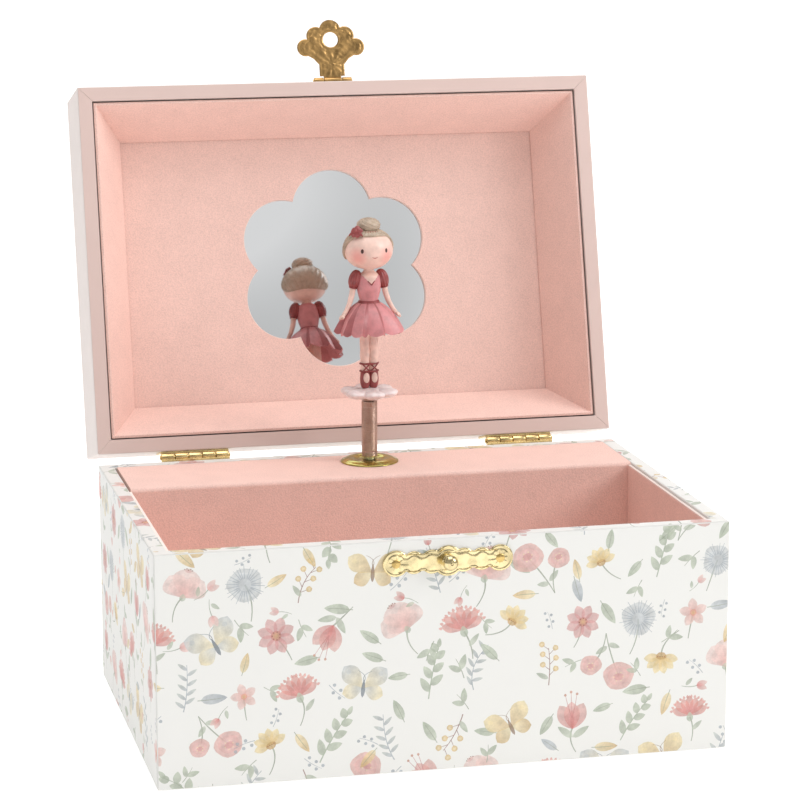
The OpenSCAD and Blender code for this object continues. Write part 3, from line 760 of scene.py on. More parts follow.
def placed(layers, at, turn, size):
    """Layers turned, scaled and moved to where they are printed."""
    a = math.radians(turn)
    c, s = size * math.cos(a), size * math.sin(a)

    def move(p):
        return Vector((at[0] + c * p[0] - s * p[1], at[1] + s * p[0] + c * p[1]))

    return [Layer([move(p) for p in layer.points], layer.inner, layer.outer, layer.alpha,
                  move(layer.centre), layer.reach * size) for layer in layers]


def print_layout(s0, s1, v0, v1):
    """Motifs scattered on a staggered grid that runs round the whole box."""
    rng = random.Random(41)
    pitch_s, pitch_v = 20.0, 17.5
    flipped, filled = 0.12, 0.8
    motifs = []
    row = 0
    v = v0 - 4
    while v < v1 + 8:
        s = s0 - pitch_s + (0.5 * pitch_s if row % 2 else 0)
        column = 0
        while s < s1 + pitch_s:
            at = (s + rng.uniform(-2.4, 2.4), v + rng.uniform(-2.2, 2.2))
            kind = BIG_MOTIFS[(column * 5 + row * 3 + rng.choice((0, 0, 1))) % len(BIG_MOTIFS)]
            turn = rng.uniform(-38, 38) + (180 if rng.random() < flipped else 0)
            motifs.append((at, placed(kind(rng), at, turn, rng.uniform(1.1, 1.32))))
            for dx, dy in ((0.5 * pitch_s, rng.uniform(-2, 3)), (0.06 * pitch_s, 0.5 * pitch_v)):
                spot = (s + dx + rng.uniform(-1.2, 1.2), v + dy + rng.uniform(-1.2, 1.2))
                if rng.random() < filled:
                    small = rng.choice(SMALL_MOTIFS)(rng)
                    motifs.append((spot, placed(small, spot, rng.uniform(0, 360), rng.uniform(0.95, 1.3))))
            s += pitch_s
            column += 1
        v += pitch_v
        row += 1
    return motifs


def counter_clockwise(points):
    area = sum(a.x * b.y - b.x * a.y for a, b in zip(points, points[1:] + points[:1]))
    return points if area > 0 else points[::-1]


def printed_panel(name, motifs, s0, s1, v0, v1, matrix):
    """Flat sheet of printed paper: every motif's outline is in the mesh."""
    layers = [layer for at, motif in motifs for layer in motif
              if s0 - MOTIF_REACH < at[0] < s1 + MOTIF_REACH
              and v0 - MOTIF_REACH < at[1] < v1 + MOTIF_REACH]
    verts = [Vector(corner) for corner in rectangle(s0, v0, s1, v1)]
    faces = [[0, 1, 2, 3]]
    for layer in layers:
        start = len(verts)
        verts += counter_clockwise(layer.points)
        faces.append(list(range(start, len(verts))))
        if layer.reach > SHADED_REACH and layer.alpha < LINE_ALPHA:
            middle = sum(layer.points, Vector((0, 0))) / len(layer.points)
            verts += [middle.lerp(p, 0.5) for p in layer.points[::2]] + [middle]
    out_verts, _, out_faces, _, _, sources = geometry.delaunay_2d_cdt(verts, [], faces, 1, 1e-5, True)
    keep = [(face, source) for face, source in zip(out_faces, sources) if 0 in source]
    used = sorted({k for face, _ in keep for k in face})
    place = {k: i for i, k in enumerate(used)}
    mesh = bpy.data.meshes.new(name)
    mesh.from_pydata([matrix @ Vector((out_verts[k].x * MM, out_verts[k].y * MM, 0)) for k in used],
                     [], [[place[k] for k in face] for face, _ in keep])
    paper = linear(PAPER)
    inks = {rgb: linear(rgb) for layer in layers for rgb in (layer.inner, layer.outer)}
    values = []
    for face, source in keep:
        stack = [layers[k - 1] for k in sorted(source) if k > 0]
        for index in face:
            c = paper
            for layer in stack:
                t = min(1.0, (out_verts[index] - layer.centre).length / layer.reach)
                alpha = layer.alpha * (0.8 + 0.12 * t)
                c = tuple(under * (1 - alpha) + (a + (b - a) * t) * alpha
                          for under, a, b in zip(c, inks[layer.inner], inks[layer.outer]))
            values.extend((*c, 1.0 if stack else 0.0))
    mesh.color_attributes.new("print", "FLOAT_COLOR", "CORNER").data.foreach_set("color", values)
    return finish_piece(add_object(name, mesh, [MATS["print"]], False), "box", "printed_paper")


def plane(origin, along, up):
    """Matrix that lays the flat x and y along two directions."""
    return Matrix.Translation(origin) @ Matrix((along, up, along.cross(up))).transposed().to_4x4()


def printed_body():
    """Paper on the four sides and on the rim, one continuous print round the box."""
    width, depth, height = BOX_W / MM, BOX_D / MM, BODY_H / MM
    right, back = width, width + depth
    rim = WALL / MM
    motifs = print_layout(-depth, back + width, 0, height + rim)
    edge = 0.3
    off = 0.03 * MM
    x0, y0, x1, y1 = BODY_LOW.x, BODY_LOW.y, BODY_HIGH.x, BODY_HIGH.y
    for side, start, length, corner, along in (
            ("front", 0, width, (x0, y0, 0), (1, 0, 0)), ("right", right, depth, (x1, y0, 0), (0, 1, 0)),
            ("back", back, width, (x1, y1, 0), (-1, 0, 0)), ("left", -depth, depth, (x0, y1, 0), (0, -1, 0))):
        along = Vector(along)
        outward_way = along.cross(UP)
        origin = Vector(corner) - along * start * MM
        end = start + length
        printed_panel(f"print_{side}", motifs, start + edge, end - edge, edge, height - edge,
                      plane(origin + outward_way * off, along, UP))
        short = max(edge, rim if side in ("left", "right") else 0)
        printed_panel(f"print_rim_{side}", motifs, start + short, end - short,
                      height + edge, height + rim - edge,
                      plane(origin + UP * (BODY_H + off) + outward_way * BODY_H, along, -outward_way))


# ------------------------------------------------------------------ embossed plates


def edge_distance(p, edges):
    """Distance from a flat point to the nearest of many straight edges."""
    best = 1e9
    for a, b in edges:
        ab = b - a
        t = max(0.0, min(1.0, (p - a).dot(ab) / max(ab.length_squared, 1e-18)))
        best = min(best, (p - a - ab * t).length_squared)
    return math.sqrt(best)


def plate(name, shapes, holes, low, high, mat, height, step, matrix, back=None):
    """Flat plate over the union of some shapes less some holes, in metres.

    height(p, distance) is how far its face stands up from high at a point that lies that
    distance inside the outline, and back() is the same for its other face.
    """
    verts, faces = [], []
    for outline in shapes + holes:
        start = len(verts)
        verts += [Vector(p) for p in outline]
        faces.append(list(range(start, len(verts))))
    x0, x1 = min(v.x for v in verts), max(v.x for v in verts)
    y0, y1 = min(v.y for v in verts), max(v.y for v in verts)
    for j in range(int((y1 - y0) / step) + 2):
        for i in range(int((x1 - x0) / step) + 2):
            verts.append(Vector((x0 + (i + 0.5 * (j % 2)) * step, y0 + j * step * 0.9)))
    out, _, tris, _, _, sources = geometry.delaunay_2d_cdt(verts, [], faces, 1, 1e-7, True)
    keep = [tri for tri, source in zip(tris, sources) if source and all(k < len(shapes) for k in source)]
    pairs = dict.fromkeys((tri[i], tri[(i + 1) % 3]) for tri in keep for i in range(3))
    rim = [(a, b) for a, b in pairs if (b, a) not in pairs]
    edges = [(out[a], out[b]) for a, b in rim]
    rim_points = {a for a, _ in rim}
    used = sorted({i for tri in keep for i in tri})
    index = {k: i for i, k in enumerate(used)}
    tops, bottoms = [], []
    for k in used:
        p = out[k]
        d = 0.0 if k in rim_points else edge_distance(p, edges)
        tops.append((p.x, p.y, high + height(p, d)))
        bottoms.append((p.x, p.y, low - (back(p, d) if back else 0)))
    n = len(used)
    mesh_faces = [tuple(index[k] for k in tri) for tri in keep]
    mesh_faces += [tuple(n + index[k] for k in reversed(tri)) for tri in keep]
    mesh_faces += [(index[b], index[a], n + index[a], n + index[b]) for a, b in rim]
    return moved(outward(mesh_piece(name, tops + bottoms, mesh_faces, mat), 50), matrix)


def circle_points(centre, radius, count=40):
    return around(count, lambda a: (centre[0] + radius * math.cos(a), centre[1] + radius * math.sin(a)))


def both_sides(count, *rounds):
    """Round outlines on either side of the middle; each is (x, y, radius) in millimetres."""
    return [circle_points((side * x * MM, y * MM), r * MM, count) for side in (-1, 1) for x, y, r in rounds]


def scaled(points, height=0.0):
    """Flat points from millimetres to metres, raised by a height in metres."""
    return [(x * MM, height + z * MM) for x, z in points]


def rounded_rim(width, depth):
    """Height that falls away smoothly towards an outline."""
    def height(_, d):
        t = min(1.0, d / width)
        return -depth * (1 - math.sqrt(max(0.0, 1 - (1 - t) ** 2)))
    return height


# ------------------------------------------------------------------ boards, cards and deck


def block(name, low, high, mat, bevel=0.0003, segments=3):
    return prism(name, rectangle(*low[:2], *high[:2]), low[2], high[2], mat, bevel, segments)


def ring_board(name, low, high, wall, z0, z1, mat, bevel, roof=0.0):
    """Four joined boards round a hollow, closed above by a roof if that is over 0."""
    verts, faces = [], []
    for inset, z in ((0, z0), (0, z1), (wall, z0), (wall, z1 - roof)):
        verts += [(x, y, z) for x, y in rectangle(low[0] + inset, low[1] + inset,
                                                  high[0] - inset, high[1] - inset)]
    outer_low, outer_high, inner_low, inner_high = 0, 4, 8, 12
    bands = [(outer_low, outer_high), (inner_high, inner_low), (inner_low, outer_low)]
    if not roof:
        bands.append((outer_high, inner_high))
    for a, b in bands:
        faces += [(a + i, a + (i + 1) % 4, b + (i + 1) % 4, b + i) for i in range(4)]
    if roof:
        faces += [tuple(range(start, start + 4)) for start in (outer_high, inner_high)]
    return bevelled(outward(mesh_piece(name, verts, faces, mat)), bevel)


def drill(obj, centre, radius, depth, axis):
    """Cuts a round hole through a piece."""
    bpy.ops.mesh.primitive_cylinder_add(vertices=64, radius=radius, depth=depth, location=centre)
    tool = bpy.context.object
    if axis == "Y":
        tool.rotation_euler = (math.pi / 2, 0, 0)
    bpy.context.view_layer.update()
    mod = obj.modifiers.new("drill", "BOOLEAN")
    mod.operation = "DIFFERENCE"
    mod.object = tool
    apply_modifiers(obj)
    bpy.data.objects.remove(tool)


def make_body():
    shell = ring_board("body_shell", BODY_LOW, BODY_HIGH, WALL, 0, BODY_H, MATS["paper"], 0.00035)
    drill(shell, (ARBOR.x, BODY_HIGH.y - WALL / 2, ARBOR.z), 4 * MM, 4 * WALL, "Y")
    finish_piece(shell, "box", "printed_paper", "body_front", "body_back", "body_left", "body_right")
    printed_body()


def make_compartment():
    """Flocked cards on three sides and the floor; the three side cards each have a pale cut edge."""
    low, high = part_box("compartment_lining")
    t, lip, inset = 1.2 * MM, 0.25 * MM, 0.12 * MM
    back, top = high.y, high.z - lip
    cards = {
        "front": ((low.x, low.y, low.z + t), (high.x, low.y + t, top)),
        "left": ((low.x, low.y + t, low.z + t), (low.x + t, back, top)),
        "right": ((high.x - t, low.y + t, low.z + t), (high.x, back, top)),
        "floor": ((low.x, low.y, low.z), (high.x, back, low.z + t)),
    }
    for side, (a, b) in cards.items():
        card = block(f"lining_{side}", a, b, MATS["flock"], 0.00028)
        finish_piece(card, "box", "pink_flock", *(["compartment_lining"] if side == "front" else []))
        if side != "floor":
            edge = block(f"lining_edge_{side}", (a[0] + inset, a[1] + inset, b[2] - 0.1 * MM),
                         (b[0] - inset, b[1] - inset, high.z), MATS["card_edge"], 0.0001, 2)
            finish_piece(edge, "box", "pink_flock")


def make_deck():
    """Flocked deck: its front and top are one card folded over a soft edge."""
    x0, x1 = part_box("deck_top")[0].x, DECK_HIGH.x
    y0, y1 = DECK_LOW.y, DECK_HIGH.y
    z0, z1 = DECK_LOW.z, DECK_HIGH.z
    t, r, inner = 3 * MM, 1.5 * MM, 0.6 * MM
    profile = [(y0, z0), *arc((y0 + r, z1 - r), r, range(180, 89, -10)), (y1, z1), (y1, z1 - t),
               *arc((y0 + t + inner, z1 - t - inner), inner, range(90, 181, 15)), (y0 + t, z0)]
    steps = 60
    verts = []
    for i in range(steps + 1):
        x = x0 + (x1 - x0) * i / steps
        for y, z in profile:
            wave = 0.00008 * noise.noise(Vector((x * 35, y * 35, 0)))
            verts.append((x, y + (wave if y < y0 + r else 0), z + (wave if z > z1 - r else 0)))
    faces = grid_faces(steps + 1, len(profile)) + caps(steps + 1, len(profile))
    deck = outward(mesh_piece("deck", verts, faces, MATS["flock"]), 40)
    drill(deck, (DOLL.x, DOLL.y, z1), 5 * MM, 10 * MM, "Z")
    finish_piece(deck, "box", "pink_flock", "deck_front", "deck_top")
    filler = block("deck_end", (DECK_LOW.x, y0 + 0.4 * MM, z0), (x0, y0 + t, z1 - t), MATS["card_edge"])
    finish_piece(filler, "box", "pink_flock")


# ------------------------------------------------------------------ lid


def quarter_turned(half, inner, turns):
    """The half sizes (x, y) of two rectangles as one of their sides sees them."""
    return (half, inner) if turns % 2 == 0 else (half[::-1], inner[::-1])


def mitred_card(name, outer, inner, z_outer, z_inner, turns):
    """One of four flocked cards of a tray that narrows inwards, cut at 45 degrees at its ends.

    outer and inner are half sizes (x, y) of the tray at its two heights.
    """
    hair, thick = 0.1 * MM, 1.1 * MM
    (ox, oy), (ix, iy) = quarter_turned(outer, inner, turns)
    run, rise = oy - iy, z_inner - z_outer
    scale = thick / math.hypot(run, rise)
    face = [Vector(p) for p in ((-ox + hair, -oy, z_outer), (ox - hair, -oy, z_outer),
                                (-ix + hair, -iy, z_inner), (ix - hair, -iy, z_inner))]
    back = [p + Vector((0, scale * rise, -scale * run)) for p in face]
    faces = [(0, 1, 3, 2), (4, 6, 7, 5), (0, 4, 5, 1), (2, 3, 7, 6), (0, 2, 6, 4), (1, 5, 7, 3)]
    card = mesh_piece(name, face + back, faces, MATS["flock"])
    return bevelled(outward(moved(card, Matrix.Rotation(turns * math.pi / 2, 4, "Z"))), 0.00022, 2)


def flower_outline(size):
    """Outline of six round lobes about a middle, one lobe up."""
    lobe = 0.205 * size
    reach = size / 2 - lobe

    def point(a):
        off = (a - math.pi / 2 + math.pi / 6) % (math.pi / 3) - math.pi / 6
        r = reach * math.cos(off) + math.sqrt(lobe ** 2 - (reach * math.sin(off)) ** 2)
        return r * math.cos(a), r * math.sin(a)

    return around(288, point)


def make_lid():
    low, high = LID_LOW, LID_HIGH
    wall = high.x - LINING_HIGH.x - 0.4 * MM
    shell = ring_board("lid_shell", low, high, wall, low.z + 0.15 * MM, high.z, MATS["cover"], 0.0005, 4 * MM)
    finish_piece(moved(shell, LID_POSE), "lid", "pink_paper", "lid_walls", "lid_top")
    half = (high.x, high.y)
    for turns, side in enumerate(SIDES):
        rim = rim_strip(f"lid_rim_{side}", half, (half[0] - wall, half[1] - wall), low.z, turns)
        finish_piece(moved(rim, LID_POSE), "lid", "pink_paper")

    # sloping flocked cards and the panel behind them
    slope = 11.5 * MM * (PANEL_LOW.z - LINING_LOW.z) / (PANEL_LOW.z - low.z)
    outer = (LINING_HIGH.x, LINING_HIGH.y)
    tray = (outer[0] - slope, outer[1] - slope)
    for turns, side in enumerate(SIDES):
        card = mitred_card(f"lid_slope_{side}", outer, tray, LINING_LOW.z, PANEL_LOW.z, turns)
        finish_piece(moved(card, LID_POSE), "lid", "pink_flock", *(["lid_lining"] if turns == 0 else []))
    window = flower_outline(73.5 * MM)
    panel = plate("lid_panel_card", [rectangle(*PANEL_LOW[:2], *PANEL_HIGH[:2])], [window],
                  -PANEL_HIGH.z, -PANEL_LOW.z, MATS["flock"], lambda p, d: 0.0, 3 * MM,
                  LID_POSE @ Matrix.Scale(-1, 4, UP))
    finish_piece(outward(panel), "lid", "pink_flock", "lid_panel")
    finish_piece(window_edge(window), "lid", "pink_flock")


def window_edge(outline):
    """Pale cut edge of the card round the flower-shaped window, seen inside the opening."""
    low, high = PANEL_LOW.z + 0.45 * MM, PANEL_HIGH.z
    rings = [(1.0, low), (1.0, high), (0.994, high), (0.994, low)]
    verts = [(x * k, y * k, z) for k, z in rings for x, y in outline]
    edge = mesh_piece("window_edge", verts, grid_faces(4, len(outline), close=True), MATS["card_edge"])
    return moved(outward(edge, 40), LID_POSE)


def rim_strip(name, half, inner, z, turns):
    """Paper turned over one side of the rim, mitred at both ends, a little proud."""
    (hx, hy), (ix, iy) = quarter_turned(half, inner, turns)
    hair, edge = 0.07 * MM, 0.3 * MM
    outline = [(-hx + edge + hair, -hy + edge), (hx - edge - hair, -hy + edge),
               (ix - hair, -iy), (-ix + hair, -iy)]
    strip = prism(name, outline, z, z + 0.3 * MM, MATS["pink"], 0.00007, 2)
    return moved(strip, Matrix.Rotation(turns * math.pi / 2, 4, "Z"))


# ------------------------------------------------------------------ metalwork


def standing(origin, way=1):
    """Matrix that stands flat work up at a place: its up looks forwards, or back if way is -1."""
    return Matrix.Translation(origin) @ Matrix.Rotation(way * math.pi / 2, 4, "X")


def knuckle(x0, x1, centre, mat):
    """Rolled knuckle along X, with softened ends and the seam of its roll."""
    r, chamfer, bore = 1.6 * MM, 0.15 * MM, 0.75 * MM
    profile = [(bore, x0), (r - chamfer, x0), (r - chamfer * 0.3, x0 + chamfer * 0.3), (r, x0 + chamfer),
               (r, x1 - chamfer), (r - chamfer * 0.3, x1 - chamfer * 0.3), (r - chamfer, x1), (bore, x1)]

    def seam(p, a, radius, z):
        dent = 0.12 * MM if radius > bore * 1.2 and abs(a - math.pi * 1.25) < 0.08 else 0
        return Vector((p.x - dent * math.cos(a), p.y - dent * math.sin(a), z))

    part = turned("knuckle", profile, mat, 48, shape=seam)
    return moved(part, Matrix.Translation(centre) @ Matrix.Rotation(math.pi / 2, 4, "Y"))


def flat_knuckle(x0, x1):
    """The hasp's knuckles are pressed a little flat."""
    return moved(knuckle(x0 * MM, x1 * MM, (0, 0, 0), MATS["old_gold"]), Matrix.Diagonal((1, 0.75, 0.75, 1)))


def nail_head(centre, height):
    """Domed nail head on a face that looks along +Z of its own frame."""
    radius = 1.5 * MM
    profile = [(radius * 0.55, -0.3 * height), (radius, 0),
               *arc((0, 0), radius, range(10, 90, 12), height / radius), (0.04 * radius, height)]
    return moved(turned("nail", profile, MATS["nail"], 32), Matrix.Translation(centre))


def hinge_leaf(centre, own, up):
    """A leaf with its knuckles for an upright leaf above (up = 1) or below the pin."""
    mat = MATS["hinge"]
    half, count, gap = 12.3 * MM, 5, 0.3 * MM
    pitch = 2 * half / count
    flat = BODY_HIGH.y - HINGE.y
    right = [(half, 0.3 * MM), (half, 11.2 * MM), (half - 0.8 * MM, 12 * MM)]
    outline = [(-half, 0.3 * MM), *right, *[(-x, z) for x, z in right[:0:-1]]]
    leaf = prism("leaf", [(x, up * z) for x, z in outline][::up], 0, 0.9 * MM, mat, 0.00018)
    parts = [moved(leaf, standing(centre + Vector((0, flat + 0.9 * MM, 0))))]
    for i in own:
        x0 = -half + i * pitch + gap / 2
        x1 = x0 + pitch - gap
        parts.append(knuckle(x0, x1, centre, mat))
        web = prism("web", rectangle(x0, 0, x1, up * 1.3 * MM)[::up], 0.1 * MM, 1.9 * MM, mat, 0.0001, 2)
        parts.append(moved(web, standing(centre + Vector((0, flat + 2.1 * MM, 0)))))
    return parts


def make_hinges():
    fixed, moving = [], []
    for side in (-1, 1):
        centre = Vector((side * 60 * MM, HINGE.y, HINGE.z))
        fixed += hinge_leaf(centre, (0, 2, 4), -1)
        moving += [moved(part, LID_POSE) for part in hinge_leaf(centre, (1, 3), 1)]
        for x in (-8, 8):
            for up, parts in ((-1, fixed), (1, moving)):
                place = (centre.x + x * MM, BODY_HIGH.y + 0.9 * MM, centre.z + up * 7.5 * MM)
                head = moved(nail_head((0, 0, 0), 0.5 * MM), standing(place, -1))
                parts.append(moved(head, LID_POSE) if up > 0 else head)
    finish_piece(joined("hinge_body_side", fixed), "box", "gold_metal",
                 "body_hinge_leaves", "body_hinge_nails")
    finish_piece(joined("hinge_lid_side", moving), "lid", "gold_metal",
                 "lid_hinge_leaves", "lid_hinge_nails")


def ramped(d, start):
    """0 up to so many millimetres inside an outline, then 1 from a millimetre further in."""
    return min(1.0, max(0.0, (d - start * MM) / MM))


def make_clasp():
    """Embossed plate, its two nails and the turned knob."""
    centre = (KNOB[0] + KNOB[1]) / 2
    upright = standing((centre.x, BODY_LOW.y, centre.z))
    end = 17.2
    shapes = [rectangle(-17, -2.8, 17, 2.8, MM), circle_points((0, 0), 5 * MM, 56),
              *both_sides(48, (5.2, 0, 3.9), (11.2, 0, 3.7), (end, 0, 4.3))]

    def emboss(p, d):
        edge = -0.25 * MM * (1 - min(1.0, d / (0.35 * MM))) ** 2
        groove = -0.22 * MM * math.exp(-((d - 1.05 * MM) / (0.3 * MM)) ** 2)
        angle = math.atan2(p.y, abs(p.x) - end * MM)
        rays = 0.1 * MM * math.cos(9 * angle) * ramped(d, 1.4)
        wave = 0.09 * MM * math.cos(p.x / (0.75 * MM)) * ramped(d, 1.3)
        return edge + groove + (rays if abs(p.x) > 13 * MM else wave) * 0.8 + 0.1 * MM

    base = plate("clasp_plate_face", shapes, [], 0, 0.6 * MM, MATS["gold"], emboss, 0.34 * MM, upright)
    finish_piece(base, "box", "gold_metal", "clasp_plate")
    heads = [moved(nail_head((s * end * MM, 0, 0.6 * MM), 0.55 * MM), upright) for s in (-1, 1)]
    finish_piece(joined("clasp_nail_heads", heads), "box", "gold_metal", "clasp_nails")
    r, middle = 2.5, 3.6
    profile = [(1.9, 0.5), (2.1, 0.75), (1.9, 1.0), (1.4, 1.15), (1.35, 1.5),
               *arc((0, middle), r, range(-60, 88, 8), 0.84),
               (0.5, middle + 0.845 * r), (0.3, middle + 0.8 * r), (0.05, middle + 0.79 * r)]
    knob = moved(turned("clasp_knob_ball", scaled(profile), MATS["gold"], 64), upright)
    finish_piece(knob, "box", "gold_metal", "clasp_knob")


def make_hasp():
    """Hammered crown on its own small bracket."""
    mat = MATS["old_gold"]
    half = [(4.7, 0), (4.7, 6), (6.6, 8.2), (9.4, 9.8), (10.8, 12.4), (6, 18), (2, 19)]
    body = scaled(half + [(-x, u) for x, u in reversed(half)])
    shapes = [body, circle_points((0, 18.6 * MM), 4 * MM, 56),
              *both_sides(48, (5.4, 16.6, 3.5), (9.4, 12.4, 3.2))]
    holes = [circle_points((0, 15.2 * MM), 2.8 * MM, 56)]
    holes += [rectangle(s * 5.2 - 1.9, -1.7, s * 5.2 + 1.9, 1.7, MM) for s in (-1, 1)]

    def shallow(p, d):
        """Both faces stay inside the leaf's own thickness, clear of the plate that it closes on."""
        edge = -0.22 * MM * (1 - min(1.0, d / (0.3 * MM))) ** 2
        groove = -0.14 * MM * math.exp(-((d - 0.95 * MM) / (0.28 * MM)) ** 2)
        hammer = 0.16 * MM * noise.noise(Vector((p.x * 900, p.y * 900, 3)))
        deep = ramped(d, 0.9)
        fan_marks = 0.1 * MM * math.cos(11 * math.atan2(p.x, p.y - 6 * MM)) * deep
        return edge + groove + hammer * (0.4 + 0.6 * deep) + fan_marks - 0.19 * MM

    # the leaf points up and away from the lid's front when the lid is open
    base = LID_UNPOSE @ HASP_PIN
    turn = LID_POSE @ Matrix.Translation(base) @ Matrix.Rotation(math.pi, 4, "X")
    leaf = plate("crown", shapes, holes, -0.4 * MM, 0.4 * MM, mat, shallow, 0.42 * MM, turn, shallow)
    barrel = moved(flat_knuckle(-3.3, 3.3), turn)
    finish_piece(joined("hasp_crown", [leaf, barrel]), "hasp", "old_gold", "hasp")
    outline = [(-7, 0.8), (7, 0.8), (7, 6), (5.6, 8.6), (2, 9), (0, 8.4), (-2, 9), (-5.6, 8.6), (-7, 6)]
    face = LID_POSE @ standing((0, BODY_LOW.y, base.z))
    at_pin = LID_POSE @ Matrix.Translation(base)
    parts = [plate("foot", [scaled(outline)], [], 0, 0.6 * MM, mat, rounded_rim(0.4 * MM, 0.25 * MM),
                   0.6 * MM, face)]
    for s in (-1, 1):
        x0, x1 = s * 5.3 - 1.7, s * 5.3 + 1.7
        web = block("web", (x0 * MM, 0.1 * MM, 0.1 * MM), (x1 * MM, 1.25 * MM, 1.0 * MM), mat, 0.0001, 2)
        parts += [moved(flat_knuckle(x0, x1), at_pin), moved(web, at_pin),
                  moved(nail_head((s * 4 * MM, 5.5 * MM, 0.6 * MM), 0.45 * MM), face)]
    finish_piece(joined("hasp_foot", parts), "lid", "old_gold", "hasp_bracket", "hasp_nails")


def make_bush():
    """Domed ferrule round the post, polished, with a turned lip."""
    profile = [(4.4, -9.5), (4.9, -9), (4.9, -0.1), (9.9, -0.1), (10.35, 0.05), (10.4, 0.3), (10.15, 0.55),
               (9.8, 0.62), (9.5, 0.72), (9.1, 1.0), (8.5, 1.3), (7.6, 1.48), (6.6, 1.5), (5.9, 1.42),
               (5.4, 1.2), (5.0, 0.85), (4.2, 0.7), (3.4, 0.8), (3.0, 0.95), (2.6, 0.95), (2.15, 0.8),
               (2.1, -2)]
    bush = turned("post_ferrule", scaled(profile, BODY_H), MATS["bush"], 96, (DOLL.x, DOLL.y))
    finish_piece(subdivided(bush), "box", "gold_metal", "spindle_bush")


def coil(name, z0, z1, wire, core):
    """Close-wound wire between two heights, on a thin core that closes the gaps."""
    outer, phase, steps_a_turn = 2.85 * MM, 0.7, 28
    r = outer - wire / 2
    turns = max(1, round((z1 - z0 - wire) / (wire * 1.04)))
    steps = turns * steps_a_turn
    path = []
    for i in range(steps + 1):
        a = TURN * turns * i / steps + phase
        path.append(Vector((DOLL.x + r * math.cos(a), DOLL.y + r * math.sin(a),
                            z0 + wire / 2 + (z1 - z0 - wire) * i / steps)))
    wound = tube(name, path, wire / 2, MATS["spring"], 10)
    groove = outer - 0.3 * wire
    inner = turned("core", [(core, z0), (groove, z0), (groove, z1), (core, z1)],
                   MATS["spring"], 56, (DOLL.x, DOLL.y))
    return joined(name, [wound, sharpened(inner, 40)])


def make_spring():
    """The post in three pieces; reach is how far the wire runs on past each bend."""
    wire, reach = 0.42 * MM, 0.12 * MM
    for body, node, core, below, above in (("spindle", "spring_foot", 2.02, 0, reach),
                                           ("spring_middle", "spring_middle", 1.8, reach, reach),
                                           ("spring_head", "spring_head", 1.8, reach, 0)):
        low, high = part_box(node)
        part = coil(f"{node}_wire", low.z - below, high.z + above, wire, core * MM)
        finish_piece(part, body, "spring_wire", node)


def make_key():
    """Two-winged winding key."""
    y0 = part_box("winding_key")[0].y
    profile = [(2.55, 0), (3.2, 0), (3.4, 0.3), (3.4, 1.6), (3.15, 1.9), (3.15, 2.3), (3.4, 2.6), (3.4, 7.6),
               (3.1, 8.6), (2.2, 9.0), (0.05, 9.1)]
    hub = moved(turned("hub", scaled(profile), MATS["gold"], 48), standing((ARBOR.x, y0, ARBOR.z), -1))
    soft = rounded_rim(0.8 * MM, 0.55 * MM)
    wings = plate("wings", [rectangle(-6, -3, 6, 3, MM), *both_sides(56, (7.5, 3.5, 5.5))],
                  both_sides(40, (7.5, 3.5, 2.4)), -1.1 * MM, 1.1 * MM, MATS["gold"], soft, 0.5 * MM,
                  Matrix.Translation((ARBOR.x, y0 + 9 * MM, ARBOR.z)), soft)
    finish_piece(joined("winding_key_piece", [hub, wings]), "arbor", "gold_metal", "winding_key")


# ------------------------------------------------------------------ doll

WAIST_Z = SKIRT[1].z
SKIRT_LOW = SKIRT[0].z
HEAD_LOW = HEAD[0].z
HEAD_R = 0.93 * (HEAD[1].x - HEAD[0].x) / 2
HEAD_MID = HEAD_LOW + 7 * MM
HEAD_HALF = 7 * MM
FACING = math.radians(4)


def doll_point(x, y, z):
    """Millimetres across, forward (-) or back and up from the doll's axis, turned the way it looks."""
    c, s = math.cos(FACING), math.sin(FACING)
    return Vector((DOLL.x + (c * x - s * y) * MM, DOLL.y + (s * x + c * y) * MM, z * MM))


def ribbon_ring(name, rx, ry, z, thick, count, sides=10, at=(0, 0), tilt=0.0):
    """Closed rose band round the doll or a limb, in millimetres."""
    path = around(count, lambda a: doll_point(at[0] + rx * math.cos(a), at[1] + ry * math.sin(a),
                                              z + tilt * math.cos(a)))
    return tube(name, path, thick * MM, MATS["rose"], sides, close=True)


def resampled(rows, steps):
    """Rows of numbers read off at even steps, each with how far it is between two of the rows."""
    for n in range(steps + 1):
        t = n / steps * (len(rows) - 1)
        i = min(int(t), len(rows) - 2)
        f = t - i
        yield i, f, [a * (1 - f) + b * f for a, b in zip(rows[i], rows[i + 1])]


def ellipsoid(name, centre, radii, mat, turn=Matrix.Identity(3), segments=32, rings=20, shape=None):
    """Rounded solid, radii in millimetres; shape scales it by direction."""
    verts = []
    for j in range(rings + 1):
        b = math.pi * (j / rings - 0.5)
        for i in range(segments):
            a = TURN * i / segments
            p = Vector((math.cos(b) * math.cos(a), math.cos(b) * math.sin(a), math.sin(b)))
            if shape:
                p = p * shape(a, b)
            verts.append(centre + turn @ Vector([c * r * MM for c, r in zip(p, radii)]))
    obj = mesh_piece(name, verts, grid_faces(rings + 1, segments), mat)
    bm = bmesh.new()
    bm.from_mesh(obj.data)
    bmesh.ops.remove_doubles(bm, verts=bm.verts, dist=1e-7)
    bm.to_mesh(obj.data)
    bm.free()
    return obj


def facing_out(direction):
    """Rotation that turns a flat round piece to look along a direction."""
    return direction.to_track_quat("Z", "Y").to_matrix()


def head_surface(angle, rise, lift=0.0):
    """Point on the head: angle from straight ahead, towards the doll's left, and rise from its middle."""
    r = (HEAD_R + lift) * math.cos(rise) ** 0.92 * (1 - 0.035 * math.sin(rise))
    z = HEAD_MID + (HEAD_HALF + lift) * math.sin(rise)
    a = angle + FACING - math.pi / 2
    return Vector((DOLL.x + r * math.cos(a), DOLL.y + r * math.sin(a) * 0.97, z))


